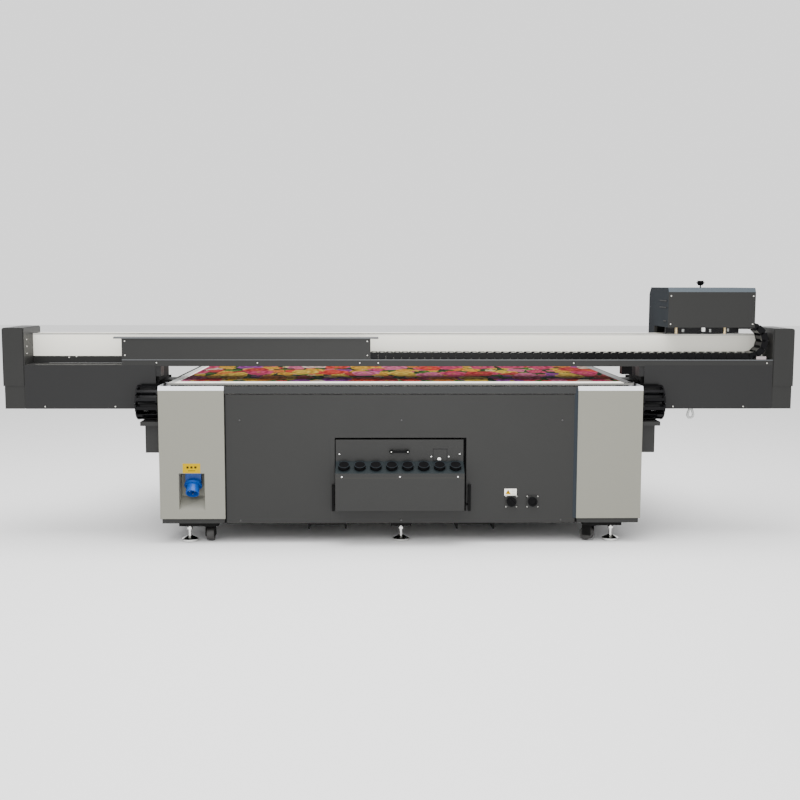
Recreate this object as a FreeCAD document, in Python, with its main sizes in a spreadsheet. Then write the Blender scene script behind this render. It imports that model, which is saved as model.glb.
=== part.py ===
"""Flatbed UV printer: a cabinet with a vacuum table, a travelling gantry and a print carriage.

Lengths are in millimetres. X runs along the beam, Y along the gantry's travel and Z up.
The service side, with the ink box and the power inlet, faces -Y. The floor is Z = 0.
Shapes are laid out about the cabinet's own centre, and every sub-part's Placement then moves
it by origin_shift along Y, so that the origin is below the middle of the whole machine.
"""
import FreeCAD, Part
import math
import os
import re
import Sketcher

os.makedirs("parts", exist_ok=True)
Vector = FreeCAD.Vector
doc = FreeCAD.newDocument("flatbed_printer")

# ---------------------------------------------------------------- driving dimensions
DIMS = {
    "origin_shift": 26.25,        # cabinet centre to the middle of the whole machine, along Y
    "cabinet_half": 1355,      # outer face of the corner covers, along X
    "cover_inner": 990,        # inner edge of a corner cover
    "cabinet_face": 860,       # face of the corner covers, along Y
    "panel_face": 845,         # face of the long centre panels
    "sheet_metal": 3,
    "skirt_bottom": 115,
    "cover_bottom": 142,
    "cover_top": 892,
    "cover_bevel": 24,
    "cover_return": 160,       # how far a corner cover wraps round the side
    "fascia_bottom": 849,
    "fascia_top": 890,
    "bed_half_x": 1300,
    "bed_half_y": 850,
    "bed_top": 910,
    "bed_plate": 12,
    "sheet_half_x": 1245,
    "media_near": -750,
    "media_far": 640,
    "media_thickness": 3,
    "frame_tube": 80,
    "frame_face": 836,
    "frame_side": 1330,
    "ledge_side": 1346,
    "ledge_top": 820,
    "rail_seat": 40,
    "rail_middle": 1334,
    "rail_wide": 14,
    "rail_tall": 15,
    "rail_half": 835,
    "wing_inner": 1391,
    "wing_outer": 2128,
    "wing_bottom": 750,
    "wing_top": 1000,
    "gantry_back": -720,
    "trough_front": -240,
    "leg_plate": 15,
    "beam_back": -550,
    "beam_front": -400,
    "beam_bottom": 1020,
    "beam_top": 1170,
    "cap_outer": 2250,
    "cap_top": 1210,
    "cap_seam": 880,
    "tray_level": 1030,
    "tray_lip": 37,
    "centre_left": -1580,
    "centre_right": -174,
    "centre_top": 1155,
    "chain_outer": 105,
    "chain_inner": 68,
    "chain_back": -690,
    "chain_front": -575,
    "chain_pitch": 44.5,
    "chain_bend_at": 2005,
    "side_chain_outer": 98,
    "side_chain_inner": 44,
    "side_chain_at": -735,
    "side_chain_level": 789,
    "side_chain_in": 1365,
    "side_chain_out": 1490,
    "side_chain_end": 520,
    "side_chain_pitch": 37.5,
    "carriage_left": 1525,
    "carriage_right": 2025,
    "carriage_body": 1925,
    "carriage_back": -700,
    "carriage_front": -250,
    "carriage_bottom": 1214,
    "carriage_apron": 960,
    "carriage_top": 1441,
    "shelf_top": 463,
    "shelf_low": 414,
    "box_front": 945,
    "box_half": 359,
    "box_middle": -10,
    "box_bottom": 204,
    "box_top": 590,
    "box_pivot_y": -855,
    "box_pivot_z": 222,
    "cap_pitch": 89,
    "cap_radius": 32.5,
    "neck_radius": 24,
    "foot_x": 1205,
    "foot_y": 770,
    "caster_x": 1085,
    "caster_y": 790,
    "wheel_radius": 37.5,
    "wheel_width": 40,
    "wheel_trail": 22,
    "running_gap": 0.05,
}
sheet = doc.addObject("Spreadsheet::Sheet", "dims")
for row, (alias, value) in enumerate(DIMS.items(), start=1):
    sheet.set(f"A{row}", alias.replace("_", " "))
    sheet.set(f"B{row}", str(value))
    sheet.setAlias(f"B{row}", alias)
doc.recompute()

NAMES = re.compile(r"[a-z_]+[a-z0-9_]*")
sub_parts = []


def on_sheet(text):
    """The same expression with each driving dimension read from the sheet."""
    return NAMES.sub(lambda word: "dims." + word.group() if word.group() in DIMS else word.group(), str(text))


def size(name):
    """A driving dimension as a plain number, for shapes that are worked out by formula."""
    return float(sheet.get(name))


def bind(obj, prop, text):
    obj.setExpression(prop, on_sheet(text))


def unique(name):
    """A document name that is still free."""
    return name if doc.getObject(name) is None else f"{name}_{len(doc.Objects)}"


# ---------------------------------------------------------------- solids
def box(name, x, y, z):
    """A block between pairs of faces; each pair is (low, high), as numbers or expressions."""
    block = doc.addObject("Part::Box", unique(name))
    for prop, axis, (low, high) in zip(("Length", "Width", "Height"), "xyz", (x, y, z)):
        bind(block, prop, f"({high}) - ({low})")
        bind(block, f"Placement.Base.{axis}", low)
    return block


def mirrored_box(name, side, x, y, z):
    """A block on the right (side 1) or the left (side -1), with x measured outwards."""
    low, high = x
    return box(name, (low, high) if side > 0 else (f"-({high})", f"-({low})"), y, z)


def both_ends_box(name, end, x, y, z):
    """A block at the +Y end (end 1) or the -Y end (end -1), with y measured from the centre."""
    low, high = y
    return box(name, x, (low, high) if end > 0 else (f"-({high})", f"-({low})"), z)


def cylinder(name, radius, height, base, tilt=(0, 0, 1, 0)):
    """A cylinder from a base point; tilt is an axis and the angle that turns +Z about it."""
    rod = doc.addObject("Part::Cylinder", unique(name))
    bind(rod, "Radius", radius)
    bind(rod, "Height", height)
    rod.Placement = FreeCAD.Placement(Vector(), FreeCAD.Rotation(Vector(*tilt[:3]), tilt[3]))
    for axis, value in zip("xyz", base):
        bind(rod, f"Placement.Base.{axis}", value)
    return rod


def cone(name, low_radius, high_radius, height, base):
    taper = doc.addObject("Part::Cone", unique(name))
    bind(taper, "Radius1", low_radius)
    bind(taper, "Radius2", high_radius)
    bind(taper, "Height", height)
    for axis, value in zip("xyz", base):
        bind(taper, f"Placement.Base.{axis}", value)
    return taper


def cut(name, base, *tools):
    """Base with each tool taken out of it."""
    for tool in tools:
        result = doc.addObject("Part::Cut", unique(name))
        result.Base = base
        result.Tool = tool
        base = result
    return base


def fuse(name, *pieces):
    joined = doc.addObject("Part::MultiFuse", unique(name))
    joined.Shapes = list(pieces)
    return joined


TOWARDS_BACK = (1, 0, 0, 90)     # turns a cylinder's +Z to -Y
TOWARDS_FRONT = (1, 0, 0, -90)   # turns a cylinder's +Z to +Y
ALONG_X = (0, 1, 0, 90)


# ---------------------------------------------------------------- sketched bodies
def origin_plane(body, role):
    return next(feature for feature in body.Origin.OriginFeatures if feature.Role == role)


def outline(body, role, offset, points):
    """A closed sketch on an origin plane, moved by offset along its normal; each corner is dimensioned."""
    sketch = body.newObject("Sketcher::SketchObject", unique(body.Name + "_sketch"))
    sketch.AttachmentSupport = [(origin_plane(body, role), "")]
    sketch.MapMode = "FlatFace"
    sketch.setExpression("AttachmentOffset.Base.z", on_sheet(offset))
    values = [[float(value_of(value)) for value in point] for point in points]
    count = len(points)
    for index, start in enumerate(values):
        end = values[(index + 1) % count]
        sketch.addGeometry(Part.LineSegment(Vector(*start, 0), Vector(*end, 0)), False)
    for index in range(count):
        sketch.addConstraint(Sketcher.Constraint("Coincident", index, 2, (index + 1) % count, 1))
    for index, point in enumerate(points):
        for kind, text, value in zip(("DistanceX", "DistanceY"), point, values[index]):
            number = sketch.addConstraint(Sketcher.Constraint(kind, -1, 1, index, 1, value))
            sketch.setExpression(f"Constraints[{number}]", on_sheet(text))
    return sketch


def value_of(text):
    """The present value of a dimension expression."""
    return sheet.evalExpression(on_sheet(text))


def pad(body, sketch, length, backwards=False):
    feature = body.newObject("PartDesign::Pad", unique(body.Name + "_pad"))
    feature.Profile = sketch
    bind(feature, "Length", length)
    feature.Reversed = backwards
    return feature


def pocket(body, sketch, length, along_normal=False):
    """Takes material out, and makes sure that it did: a pocket that points away cuts nothing."""
    doc.recompute()
    before = body.Shape.Volume
    feature = body.newObject("PartDesign::Pocket", unique(body.Name + "_pocket"))
    feature.Profile = sketch
    bind(feature, "Length", length)
    feature.Reversed = along_normal
    doc.recompute()
    if body.Shape.Volume > before - 1:
        raise ValueError(f"{feature.Name} cuts nothing")
    return feature


def new_body(name):
    return doc.addObject("PartDesign::Body", unique(name))


def prism_along_x(name, x, points):
    """A body with an outline in (Y, Z), padded from x[0] to x[1]."""
    body = new_body(name)
    pad(body, outline(body, "YZ_Plane", x[0], points), f"({x[1]}) - ({x[0]})")
    return body


def hollow_along_x(body, x, points):
    """Cuts an outline in (Y, Z) out of a body from x[0] to x[1]."""
    pocket(body, outline(body, "YZ_Plane", x[0], points), f"({x[1]}) - ({x[0]})", along_normal=True)


# ---------------------------------------------------------------- naming and placing
def sub_part(label, *pieces):
    """One named sub-part made of one or more solids, moved into the machine's own frame."""
    if len(pieces) == 1 and pieces[0].TypeId != "Part::Box" and not pieces[0].TypeId.endswith("Cylinder"):
        whole = pieces[0]
    else:
        whole = doc.addObject("Part::Compound", unique(label + "_set"))
        whole.Links = list(pieces)
    whole.Label = label
    bind(whole, "Placement.Base.y", "origin_shift")
    sub_parts.append(whole)
    return whole


# ================================================================ cabinet
def base_frame():
    """Welded tube frame; every tube is a solid that meets its neighbours face to face."""
    tubes = []
    low, high = "frame_face - frame_tube", "frame_face"
    for end in (-1, 1):
        tubes.append(both_ends_box("long_foot", end, ("-(frame_side - frame_tube)", "frame_side - frame_tube"),
                                   (low, high), ("skirt_bottom", 175)))
        tubes.append(both_ends_box("long_head", end, (-1236, 1236), (low, high), (740, "ledge_top")))
        for side in (-1, 1):
            for inner in (440, "frame_side - frame_tube"):
                post_x = (inner, f"({inner}) + frame_tube")
                if side < 0:
                    post_x = (f"-({inner}) - frame_tube", f"-({inner})")
                tubes.append(both_ends_box("post", end, post_x, (low, high), (175, 740)))
    for side in (-1, 1):
        reach = ("-frame_face", "frame_face")
        tubes.append(mirrored_box("side_foot", side, ("frame_side - frame_tube", "frame_side"), reach,
                                  ("skirt_bottom", 175)))
        tubes.append(mirrored_box("side_head", side, (1236, "ledge_side"), reach, (740, "ledge_top")))
        tubes.append(mirrored_box("rail_seat", side, (1320, "ledge_side"), reach,
                                  ("ledge_top", "ledge_top + rail_seat")))
        between = ("-(frame_face - frame_tube)", "frame_face - frame_tube")
        tubes.append(mirrored_box("cross_foot", side, (440, 520), between, ("skirt_bottom", 172)))
        tubes.append(mirrored_box("cross_head", side, (440, 520), between, (740, "ledge_top")))
        tubes.append(mirrored_box("floor_sheet", side, (440, 1250), between, (172, 175)))
    return sub_part("base_frame", *tubes)


def vacuum_table():
    """Drilled table plate on an open-bottomed vacuum plenum."""
    plenum_x, plenum_y, wall = 1225, 740, 6
    under = "bed_top - bed_plate"
    pieces = [box("table_plate", ("-bed_half_x", "bed_half_x"), ("-bed_half_y", "bed_half_y"), (under, "bed_top")),
              box("plenum_floor", (-plenum_x, plenum_x), (-plenum_y, plenum_y), ("ledge_top", 826))]
    for side in (-1, 1):
        pieces.append(mirrored_box("plenum_side", side, (plenum_x - wall, plenum_x),
                                   (-plenum_y, plenum_y), (826, under)))
        pieces.append(both_ends_box("plenum_end", side, (-plenum_x + wall, plenum_x - wall),
                                    (plenum_y - wall, plenum_y), (826, under)))
        for rib in (-610, 0, 610):
            low, high = (6, 734) if side > 0 else (-734, -6)
            pieces.append(box("plenum_rib", (rib - 3, rib + 3), (low, high), (826, under)))
    return sub_part("vacuum_table", *pieces)


def printed_board():
    """The board that lies printed on the table."""
    return sub_part("printed_board", box("board", ("-sheet_half_x", "sheet_half_x"), ("media_near", "media_far"),
                                         ("bed_top", "bed_top + media_thickness")))


def y_guideway():
    """Profile rails and linear-motor magnet tracks on the frame's ledges."""
    pieces = []
    seat_top = "ledge_top + rail_seat"
    for side in (-1, 1):
        pieces.append(mirrored_box("rail", side, ("rail_middle - rail_wide / 2", "rail_middle + rail_wide / 2"),
                                   ("-rail_half", "rail_half"), (seat_top, f"{seat_top} + rail_tall")))
        pieces.append(mirrored_box("magnet_track", side, (1250, 1290), ("-rail_half", "rail_half"),
                                   ("ledge_top", "ledge_top + 10")))
    return sub_part("y_guideway", *pieces)


def long_panel(label, end):
    """Long centre panel with the dark fascia above it; the service side is open for the ink box."""
    body = new_body(label + "_sheet")
    corners = ((-985, 113), (985, 113), (985, 845), (-985, 845))
    plane = "panel_face" if end < 0 else "-(panel_face - sheet_metal)"
    pad(body, outline(body, "XZ_Plane", plane, corners), "sheet_metal", backwards=True)
    if end < 0:
        opening = ((-374, 183), (365, 183), (365, 600), (-374, 600))
        pocket(body, outline(body, "XZ_Plane", plane, opening), "sheet_metal")
    fascia = both_ends_box("fascia", end, ("-cover_inner", "cover_inner"), ("frame_face", "bed_half_y"),
                           ("fascia_bottom", "fascia_top"))
    return sub_part(label, body, fascia)


def corner_cover(label, side, end):
    """Light corner cover: a folded sheet with a leaning top edge, open inwards and upwards."""
    skin = "sheet_metal"
    face = "cabinet_face"
    turn = "" if end > 0 else "-"
    outer = [(f"{turn}({face})", "cover_bottom"), (f"{turn}({face})", "cover_top - cover_bevel"),
             (f"{turn}({face} - 10)", "cover_top"), (f"{turn}({face} - cover_return)", "cover_top"),
             (f"{turn}({face} - cover_return)", "cover_bottom")]
    inner = [(f"{turn}({face} - {skin})", "cover_bottom - 1"),
             (f"{turn}({face} - {skin})", "cover_top - cover_bevel - 0.5"),
             (f"{turn}({face} - 13)", "cover_top + 1"),
             (f"{turn}({face} - cover_return - 1)", "cover_top + 1"),
             (f"{turn}({face} - cover_return - 1)", "cover_bottom - 1")]
    wide = ("cover_inner", "cabinet_half") if side > 0 else ("-cabinet_half", "-cover_inner")
    body = prism_along_x(label + "_sheet", wide, outer)
    hollow_along_x(body, (f"({wide[0]}) + {skin}", f"({wide[1]}) - {skin}"), inner)
    # the return towards the long panel is only as deep as the panel is set back
    step = ("cover_inner - 1", "cover_inner + 4") if side > 0 else ("-cover_inner - 4", "-cover_inner + 1")
    hollow_along_x(body, step, [(f"{turn}(panel_face)", "cover_bottom - 1"), (f"{turn}(panel_face)", "cover_top + 1"),
                                (f"{turn}({face} - cover_return - 1)", "cover_top + 1"),
                                (f"{turn}({face} - cover_return - 1)", "cover_bottom - 1")])
    return body


def rear_left_cover():
    """Corner cover with the recess for the mains inlet; the recess has a sloping floor."""
    body = corner_cover("rear_left_cover", -1, -1)
    window = ((-1247, 196), (-1103, 196), (-1103, 401), (-1247, 401))
    pocket(body, outline(body, "XZ_Plane", "cabinet_face", window), "sheet_metal + 2")
    liner = prism_along_x("inlet_recess", (-1250, -1100), [(-857, 193), (-857, 404), (-757, 404), (-757, 193)])
    hollow_along_x(liner, (-1247, -1103), [(-858, 196), (-858, 401), (-760, 401), (-760, 256)])
    return sub_part("rear_left_cover", body, liner)


def side_panels():
    """Side sheets between the corner covers, with the dark skirt that runs round the bottom."""
    pieces = []
    for side in (-1, 1):
        pieces.append(mirrored_box("side_sheet", side, ("cabinet_half - sheet_metal", "cabinet_half"),
                                   ("-(cabinet_face - cover_return)", "cabinet_face - cover_return"),
                                   ("cover_bottom", "cover_top")))
        pieces.append(mirrored_box("side_skirt", side, ("frame_side", 1345), (-836, 836),
                                   ("skirt_bottom", "cover_bottom")))
        for end in (-1, 1):
            low, high = ("cover_inner + 5", 1345) if side > 0 else (-1345, "-cover_inner - 5")
            pieces.append(both_ends_box("end_skirt", end, (low, high), ("frame_face", 850),
                                        ("skirt_bottom", "cover_bottom")))
    return sub_part("side_panels", *pieces)


def y_chain_trays():
    """Folded tray for each side energy chain, with the cable duct below it."""
    pieces = []
    reach = (-840, 620)
    for side in (-1, 1):
        pieces.append(mirrored_box("tray_sheet", side, ("cabinet_half", 1460), reach, (687, 690)))
        pieces.append(mirrored_box("tray_lip", side, (1457, 1460), reach, (667, 687)))
        pieces.append(mirrored_box("tray_end", side, ("cabinet_half", 1457), (-840, -837), (667, 687)))
        pieces.append(mirrored_box("duct_outer", side, (1437, 1440), (-800, 620), (510, 687)))
        pieces.append(mirrored_box("duct_floor", side, ("cabinet_half", 1437), (-800, 620), (510, 513)))
        pieces.append(mirrored_box("duct_end", side, ("cabinet_half", 1437), (-800, -797), (513, 687)))
    return sub_part("y_chain_trays", *pieces)


def under_brackets():
    """Fork guides below the cabinet, and the plates that carry the feet and the casters."""
    pieces = []
    for side in (-1, 1):
        for end in (-1, 1):
            ends = (310, 528) if side > 0 else (-528, -310)
            pieces.append(both_ends_box("fork_plate", end, ends, (700, 840), (105, "skirt_bottom")))
            for tab in (ends[0], ends[1] - 10):
                pieces.append(both_ends_box("fork_tab", end, (tab, tab + 10), (700, 840), (78, 105)))
            pieces.append(mirrored_plate(side, end))
    for end in (-1, 1):
        block = both_ends_box("middle_foot_plate", end, (-58, 58), (715, 835), (95, "skirt_bottom"))
        hole = cylinder("middle_foot_hole", "8 + running_gap", 30, (0, f"{end} * foot_y", 90))
        pieces.append(cut("middle_foot_mount", block, hole))
    return sub_part("under_brackets", *pieces)


def mirrored_plate(side, end):
    """Corner plate with the holes for one foot stem and one caster pin."""
    ends = (1035, 1255) if side > 0 else (-1255, -1035)
    block = both_ends_box("corner_plate", end, ends, (715, 835), (95, "skirt_bottom"))
    foot_hole = cylinder("foot_hole", "8 + running_gap", 30, (f"{side} * foot_x", f"{end} * foot_y", 90))
    pin_hole = cylinder("caster_hole", "8 + running_gap", 30, (f"{side} * caster_x", f"{end} * caster_y", 90))
    return cut("corner_mount", block, foot_hole, pin_hole)


def feet():
    """Six levelling feet: a pad, a threaded stem and a lock nut each."""
    pieces = []
    for x in ("-foot_x", 0, "foot_x"):
        for end in (-1, 1):
            spot = (x, f"{end} * foot_y")
            disc = cylinder("foot_pad", 48, 12, (*spot, 0))
            swell = cone("foot_swell", 46, 16, 16, (*spot, 12))
            stem = cylinder("foot_stem", 8, 85, (*spot, 28))
            nut = cylinder("foot_nut", 16, 12, (*spot, 66))
            pieces.append(fuse("foot", disc, swell, stem, nut))
    return sub_part("feet", *pieces)


def power_inlet():
    """Mains inlet: a grey collar on a seat, a blue shroud and three pins, pointing out and down."""
    lean = 138
    down = math.radians(lean - 90)
    start = Vector(-1176, -800, 328)
    axis = Vector(0, -math.cos(down), -math.sin(down))
    tilt = (1, 0, 0, lean)

    def along(distance):
        return tuple(start + axis * distance)

    seat = box("inlet_seat", (-1220, -1132), (-800, -760), (322, 398))
    collar = cylinder("inlet_collar", 50, 10, along(0), tilt)
    base = fuse("inlet_base", seat, collar)
    shroud = cylinder("inlet_shroud", 37, 50, along(10), tilt)
    well = cylinder("inlet_well", 33, 40, along(24), tilt)
    pins = []
    for turn in (90, 210, 330):
        angle = math.radians(turn)
        across = Vector(math.cos(angle), -math.sin(angle) * axis.z, math.sin(angle) * axis.y)
        pins.append(cylinder("inlet_pin", 3.5, 28, tuple(start + axis * 24 + across * 17), tilt))
    return sub_part("power_inlet", base, cut("inlet_shell", shroud, well), *pins)


def control_bases():
    """Switch plate and spare socket on the service side, and the emergency stop's collar."""
    face = "-panel_face"
    back = (f"{face} - 8", face)
    switch = cut("switch_plate", box("switch_base", (589, 655), back, (204, 270)),
                 cylinder("switch_bore", "6 + running_gap", 20, (622, f"{face} + 5", 237), TOWARDS_BACK))
    ring = cylinder("socket_ring", 27, 12, (742, f"{face} - 8", 237), TOWARDS_BACK)
    well = cylinder("socket_well", 20, 10, (742, f"{face} - 12", 237), TOWARDS_BACK)
    collar = cylinder("stop_collar", 30, 12, (1172, "cabinet_face", 780), TOWARDS_FRONT)
    bore = cylinder("stop_bore", "8 + running_gap", 20, (1172, "cabinet_face - 4", 780), TOWARDS_FRONT)
    return sub_part("control_bases", switch, box("socket_base", (709, 775), back, (204, 270)),
                    cut("socket_shell", ring, well), cut("stop_base", collar, bore))


def panel_screws():
    """Button-head screws that hold the panels, the switch and the socket."""
    pieces = []
    spots = [(x, z) for x in (-905, 0, 905) for z in (130, 700)]
    for x, z in spots:
        pieces.append(cylinder("screw", 5, 2.5, (x, "-panel_face", z), TOWARDS_BACK))
        pieces.append(cylinder("screw", 5, 2.5, (x, "panel_face", z), TOWARDS_FRONT))
    for middle in (622, 742):
        for across in (-27, 27):
            for up in (-27, 27):
                pieces.append(cylinder("small_screw", 4, 2, (middle + across, "-panel_face - 8", 237 + up),
                                       TOWARDS_BACK))
    return sub_part("panel_screws", *pieces)


def vacuum_blower():
    """Side-channel blower under the table: feet, motor and impeller housing."""
    return sub_part("vacuum_blower", box("blower_foot", (-1080, -700), (-130, 130), (175, 190)),
                    cylinder("blower_motor", 110, 300, (-1080, 0, 300), ALONG_X),
                    cylinder("blower_housing", 170, 110, (-780, 0, 362), ALONG_X))


def electrics_box():
    """Steel box for the drives and supplies, standing on the frame's floor sheet."""
    shell = box("electrics_shell", (640, 1150), (-300, 300), (175, 640))
    return sub_part("electrics_box", cut("electrics_case", shell,
                                         box("electrics_room", (643, 1147), (-297, 297), (174, 637))))


def ink_box_hinges():
    """Black side bars with the pins that the ink box tilts on."""
    pieces = []
    for low, high, start, reach in ((-391, -376, -391, "box_middle - box_half + 6 + 391"),
                                    (376, 391, "box_middle + box_half - 6", "391 - (box_middle + box_half - 6)")):
        bar = box("hinge_bar", (low, high), (-870, "-panel_face"), (187, 335))
        pin = cylinder("hinge_pin", 5, reach, (start, "box_pivot_y", "box_pivot_z"), ALONG_X)
        pieces.append(fuse("hinge", bar, pin))
    return sub_part("ink_box_hinges", *pieces)


# ================================================================ ink box
SHELF_RUN = size("box_front") - size("panel_face")
SHELF_DROP = size("shelf_top") - size("shelf_low")
SHELF_ANGLE = math.degrees(math.atan2(SHELF_DROP, SHELF_RUN))
SHELF_NORMAL = Vector(0, -math.sin(math.radians(SHELF_ANGLE)), math.cos(math.radians(SHELF_ANGLE)))
SHELF_MIDDLE = Vector(0, -(size("box_front") + size("panel_face")) / 2, (size("shelf_top") + size("shelf_low")) / 2)
SHELF_TILT = (1, 0, 0, SHELF_ANGLE)
CAP_SPOTS = [size("box_middle") + (index - 3.5) * size("cap_pitch") for index in range(8)]


def on_shelf(x, height):
    """A point above the middle of the sloping shelf, along the shelf's own normal."""
    point = SHELF_MIDDLE + SHELF_NORMAL * height
    return (x, point.y, point.z)


def ink_box():
    """Sheet-metal box that tilts out of the panel; its sloping shelf has a hole for each neck."""
    skin = 3
    body = prism_along_x("ink_box_shell", ("box_middle - box_half", "box_middle + box_half"), [
        ("-panel_face", "box_top"), ("-panel_face", "shelf_top"), ("-box_front", "shelf_low"),
        ("-box_front", "box_bottom"), (-765, "box_bottom"), (-765, "box_top")])
    hollow_along_x(body, (f"box_middle - (box_half - {skin})", f"box_middle + box_half - {skin}"), [
        ("-(panel_face - 3)", "box_top - 3"), ("-(panel_face - 3)", "shelf_top - 4"),
        ("-(box_front - 3)", "shelf_low - 4"), ("-(box_front - 3)", "box_bottom + 3"),
        (-764, "box_bottom + 3"), (-764, "box_top - 3")])
    holes = [cylinder("neck_hole", "neck_radius + 0.5", 30, on_shelf(x, -15), SHELF_TILT) for x in CAP_SPOTS]
    holes.append(cylinder("pivot_bore", "5 + running_gap", 740, (-380, "box_pivot_y", "box_pivot_z"), ALONG_X))
    plate = box("latch_plate", (180, 255), (-848, "-panel_face"), (471, 535))
    bore = cylinder("latch_bore", "4 + running_gap", 20, (212, -835, 481), TOWARDS_BACK)
    shell = cut("ink_box_shell_cut", body, *holes, bore)
    screws = []
    for x, z in ((-348, 508), (328, 508)):
        screws.append(cylinder("box_screw", 5, 2.5, (x, "-panel_face", z), TOWARDS_BACK))
    for x in (-332, -10, 312):
        screws.append(cylinder("box_screw", 5, 2.5, (x, "-box_front", 396), TOWARDS_BACK))
    return sub_part("ink_box", shell, cut("latch_plate_cut", plate, bore), *screws)


def ink_tanks():
    """Eight ink bottles; each has a neck that comes up through the shelf."""
    pieces = []
    for x in CAP_SPOTS:
        bottle = box("tank", (x - 40, x + 40), (-930, -775), (210, 378))
        neck = cylinder("tank_neck", "neck_radius", 84, on_shelf(x, -78), SHELF_TILT)
        pieces.append(fuse("tank_with_neck", bottle, neck))
    return sub_part("ink_tanks", *pieces)


def ink_cap(index, x):
    """Screw cap over one bottle neck."""
    outer = cylinder("cap_outer", "cap_radius", 21, on_shelf(x, 1), SHELF_TILT)
    inner = cylinder("cap_inner", "neck_radius + running_gap", 7, on_shelf(x, -0.5), SHELF_TILT)
    return sub_part(f"ink_cap_{index}", cut("cap", outer, inner))


def ink_box_handle():
    """Bow handle for tilting the box out."""
    feet_pieces = [cylinder("handle_foot", 8, 22, (x, "-panel_face", 525), TOWARDS_BACK) for x in (-52, 30)]
    return sub_part("ink_box_handle", *feet_pieces,
                    box("handle_bar", (-57, 35), (-875, -867), (518, 532)))


def latch_knob():
    head = cylinder("latch_head", 10, 10, (212, -848.3, 481), TOWARDS_BACK)
    stem = cylinder("latch_stem", 4, 12, (212, -837, 481), TOWARDS_BACK)
    return sub_part("latch_knob", fuse("latch", head, stem))


def switch_knob():
    """Rotary switch handle with a grip bar."""
    face = "-panel_face - 8.3"
    dial = cylinder("switch_dial", 28, 10, (622, face, 237), TOWARDS_BACK)
    stem = cylinder("switch_stem", 6, 10, (622, "-panel_face - 0.3", 237), TOWARDS_BACK)
    turn = FreeCAD.Rotation(Vector(0, 1, 0), 45)
    corner = Vector(622, -877.3, 237) - turn.multVec(Vector(26, 0, 5))
    grip = doc.addObject("Part::Box", "switch_grip")
    grip.Length, grip.Width, grip.Height = 52, 14, 10
    grip.Placement = FreeCAD.Placement(corner, turn)
    return sub_part("switch_knob", fuse("switch_handle", dial, stem, grip))


def stop_button():
    """Mushroom button of the emergency stop, on the operator's side."""
    head = cylinder("stop_head", 20, 17, (1172, "cabinet_face + 18", 780), TOWARDS_FRONT)
    stem = cylinder("stop_stem", 8, 14, (1172, "cabinet_face + 6", 780), TOWARDS_FRONT)
    return sub_part("stop_button", fuse("stop", head, stem))


# ================================================================ casters
def caster(place, side, end, yaw):
    """Swivel fork with its pin and axle, and the wheel, turned by yaw about the swivel pin."""
    turn = FreeCAD.Placement(Vector(side * size("caster_x"), end * size("caster_y"), 0),
                             FreeCAD.Rotation(Vector(0, 0, 1), yaw))
    trail = size("wheel_trail")
    level = size("wheel_radius") + 1.5
    half = size("wheel_width") / 2
    plate = Part.makeCylinder(34, 8, Vector(0, 0, 86.5))
    pin = Part.makeCylinder(8, 14, Vector(0, 0, 94))
    cheeks = []
    for sign in (-1, 1):
        start = half + 1.5 if sign > 0 else -half - 7.5
        cheeks.append(Part.makeBox(6, 52, 56, Vector(start, -12, 31)))
    axle = Part.makeCylinder(5, 2 * half + 15, Vector(-half - 7.5, trail, level), Vector(1, 0, 0))
    fork_shape = plate.multiFuse([pin, *cheeks, axle]).removeSplitter()
    tyre = Part.makeCylinder(size("wheel_radius"), 2 * half, Vector(-half, trail, level), Vector(1, 0, 0))
    bore = Part.makeCylinder(5 + size("running_gap"), 2 * half + 2, Vector(-half - 1, trail, level),
                             Vector(1, 0, 0))
    for label, shape in ((f"caster_fork_{place}", fork_shape), (f"caster_wheel_{place}", tyre.cut(bore))):
        shape.Placement = turn
        feature = doc.addObject("Part::Feature", label + "_shape")
        feature.Shape = shape
        sub_part(label, doc_compound(label, feature))


def doc_compound(label, *pieces):
    group = doc.addObject("Part::Compound", unique(label + "_group"))
    group.Links = list(pieces)
    return group


# ================================================================ gantry
RAIL_LEVELS = (1050, 1125)       # undersides of the two rails on the beam
LIFT_PINS = (1640, 1910)         # X of the cap station's guide pins


def gantry_beam():
    """Hollow beam with two profile rails on its operator side."""
    wall = 8
    body = prism_along_x("beam_tube", ("-wing_outer", "wing_outer"), [
        ("beam_back", "beam_bottom"), ("beam_front", "beam_bottom"), ("beam_front", "beam_top"),
        ("beam_back", "beam_top")])
    hollow_along_x(body, ("-wing_outer - 1", "wing_outer + 1"), [
        (f"beam_back + {wall}", f"beam_bottom + {wall}"), (f"beam_front - {wall}", f"beam_bottom + {wall}"),
        (f"beam_front - {wall}", f"beam_top - {wall}"), (f"beam_back + {wall}", f"beam_top - {wall}")])
    rails = [box("cross_rail", (-2050, 2050), ("beam_front", "beam_front + rail_tall"), (low, f"{low} + rail_tall"))
             for low in RAIL_LEVELS]
    return sub_part("gantry_beam", body, *rails)


def gantry_frame():
    """Leg plates, wing arms, end plates, the side chain brackets and the crash sensor."""
    pieces = []
    for side in (-1, 1):
        inner = "wing_inner - leg_plate"
        pieces += [
            mirrored_box("leg_plate", side, (inner, "wing_inner"), (-700, "beam_front"), (755, "beam_bottom")),
            mirrored_box("foot_plate", side, (1303, inner), (-655, -465), (896, 910)),
            mirrored_box("wing_arm", side, ("wing_inner", "wing_outer"), (-620, -480), (860, 940)),
            mirrored_box("beam_post", side, (2060, "wing_outer"), ("beam_back", -480), (940, "beam_bottom")),
            mirrored_box("end_plate", side, ("wing_outer", "wing_outer + 6"), (-716, -404), (753, 1206)),
            mirrored_box("chain_bracket", side, ("side_chain_in", 1470), ("side_chain_at", "gantry_back"),
                         (889, 894)),
        ]
    pieces.append(box("crash_sensor", (1266, 1325), (-700, -640), (946, 1027)))
    return sub_part("gantry_frame", *pieces)


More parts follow.
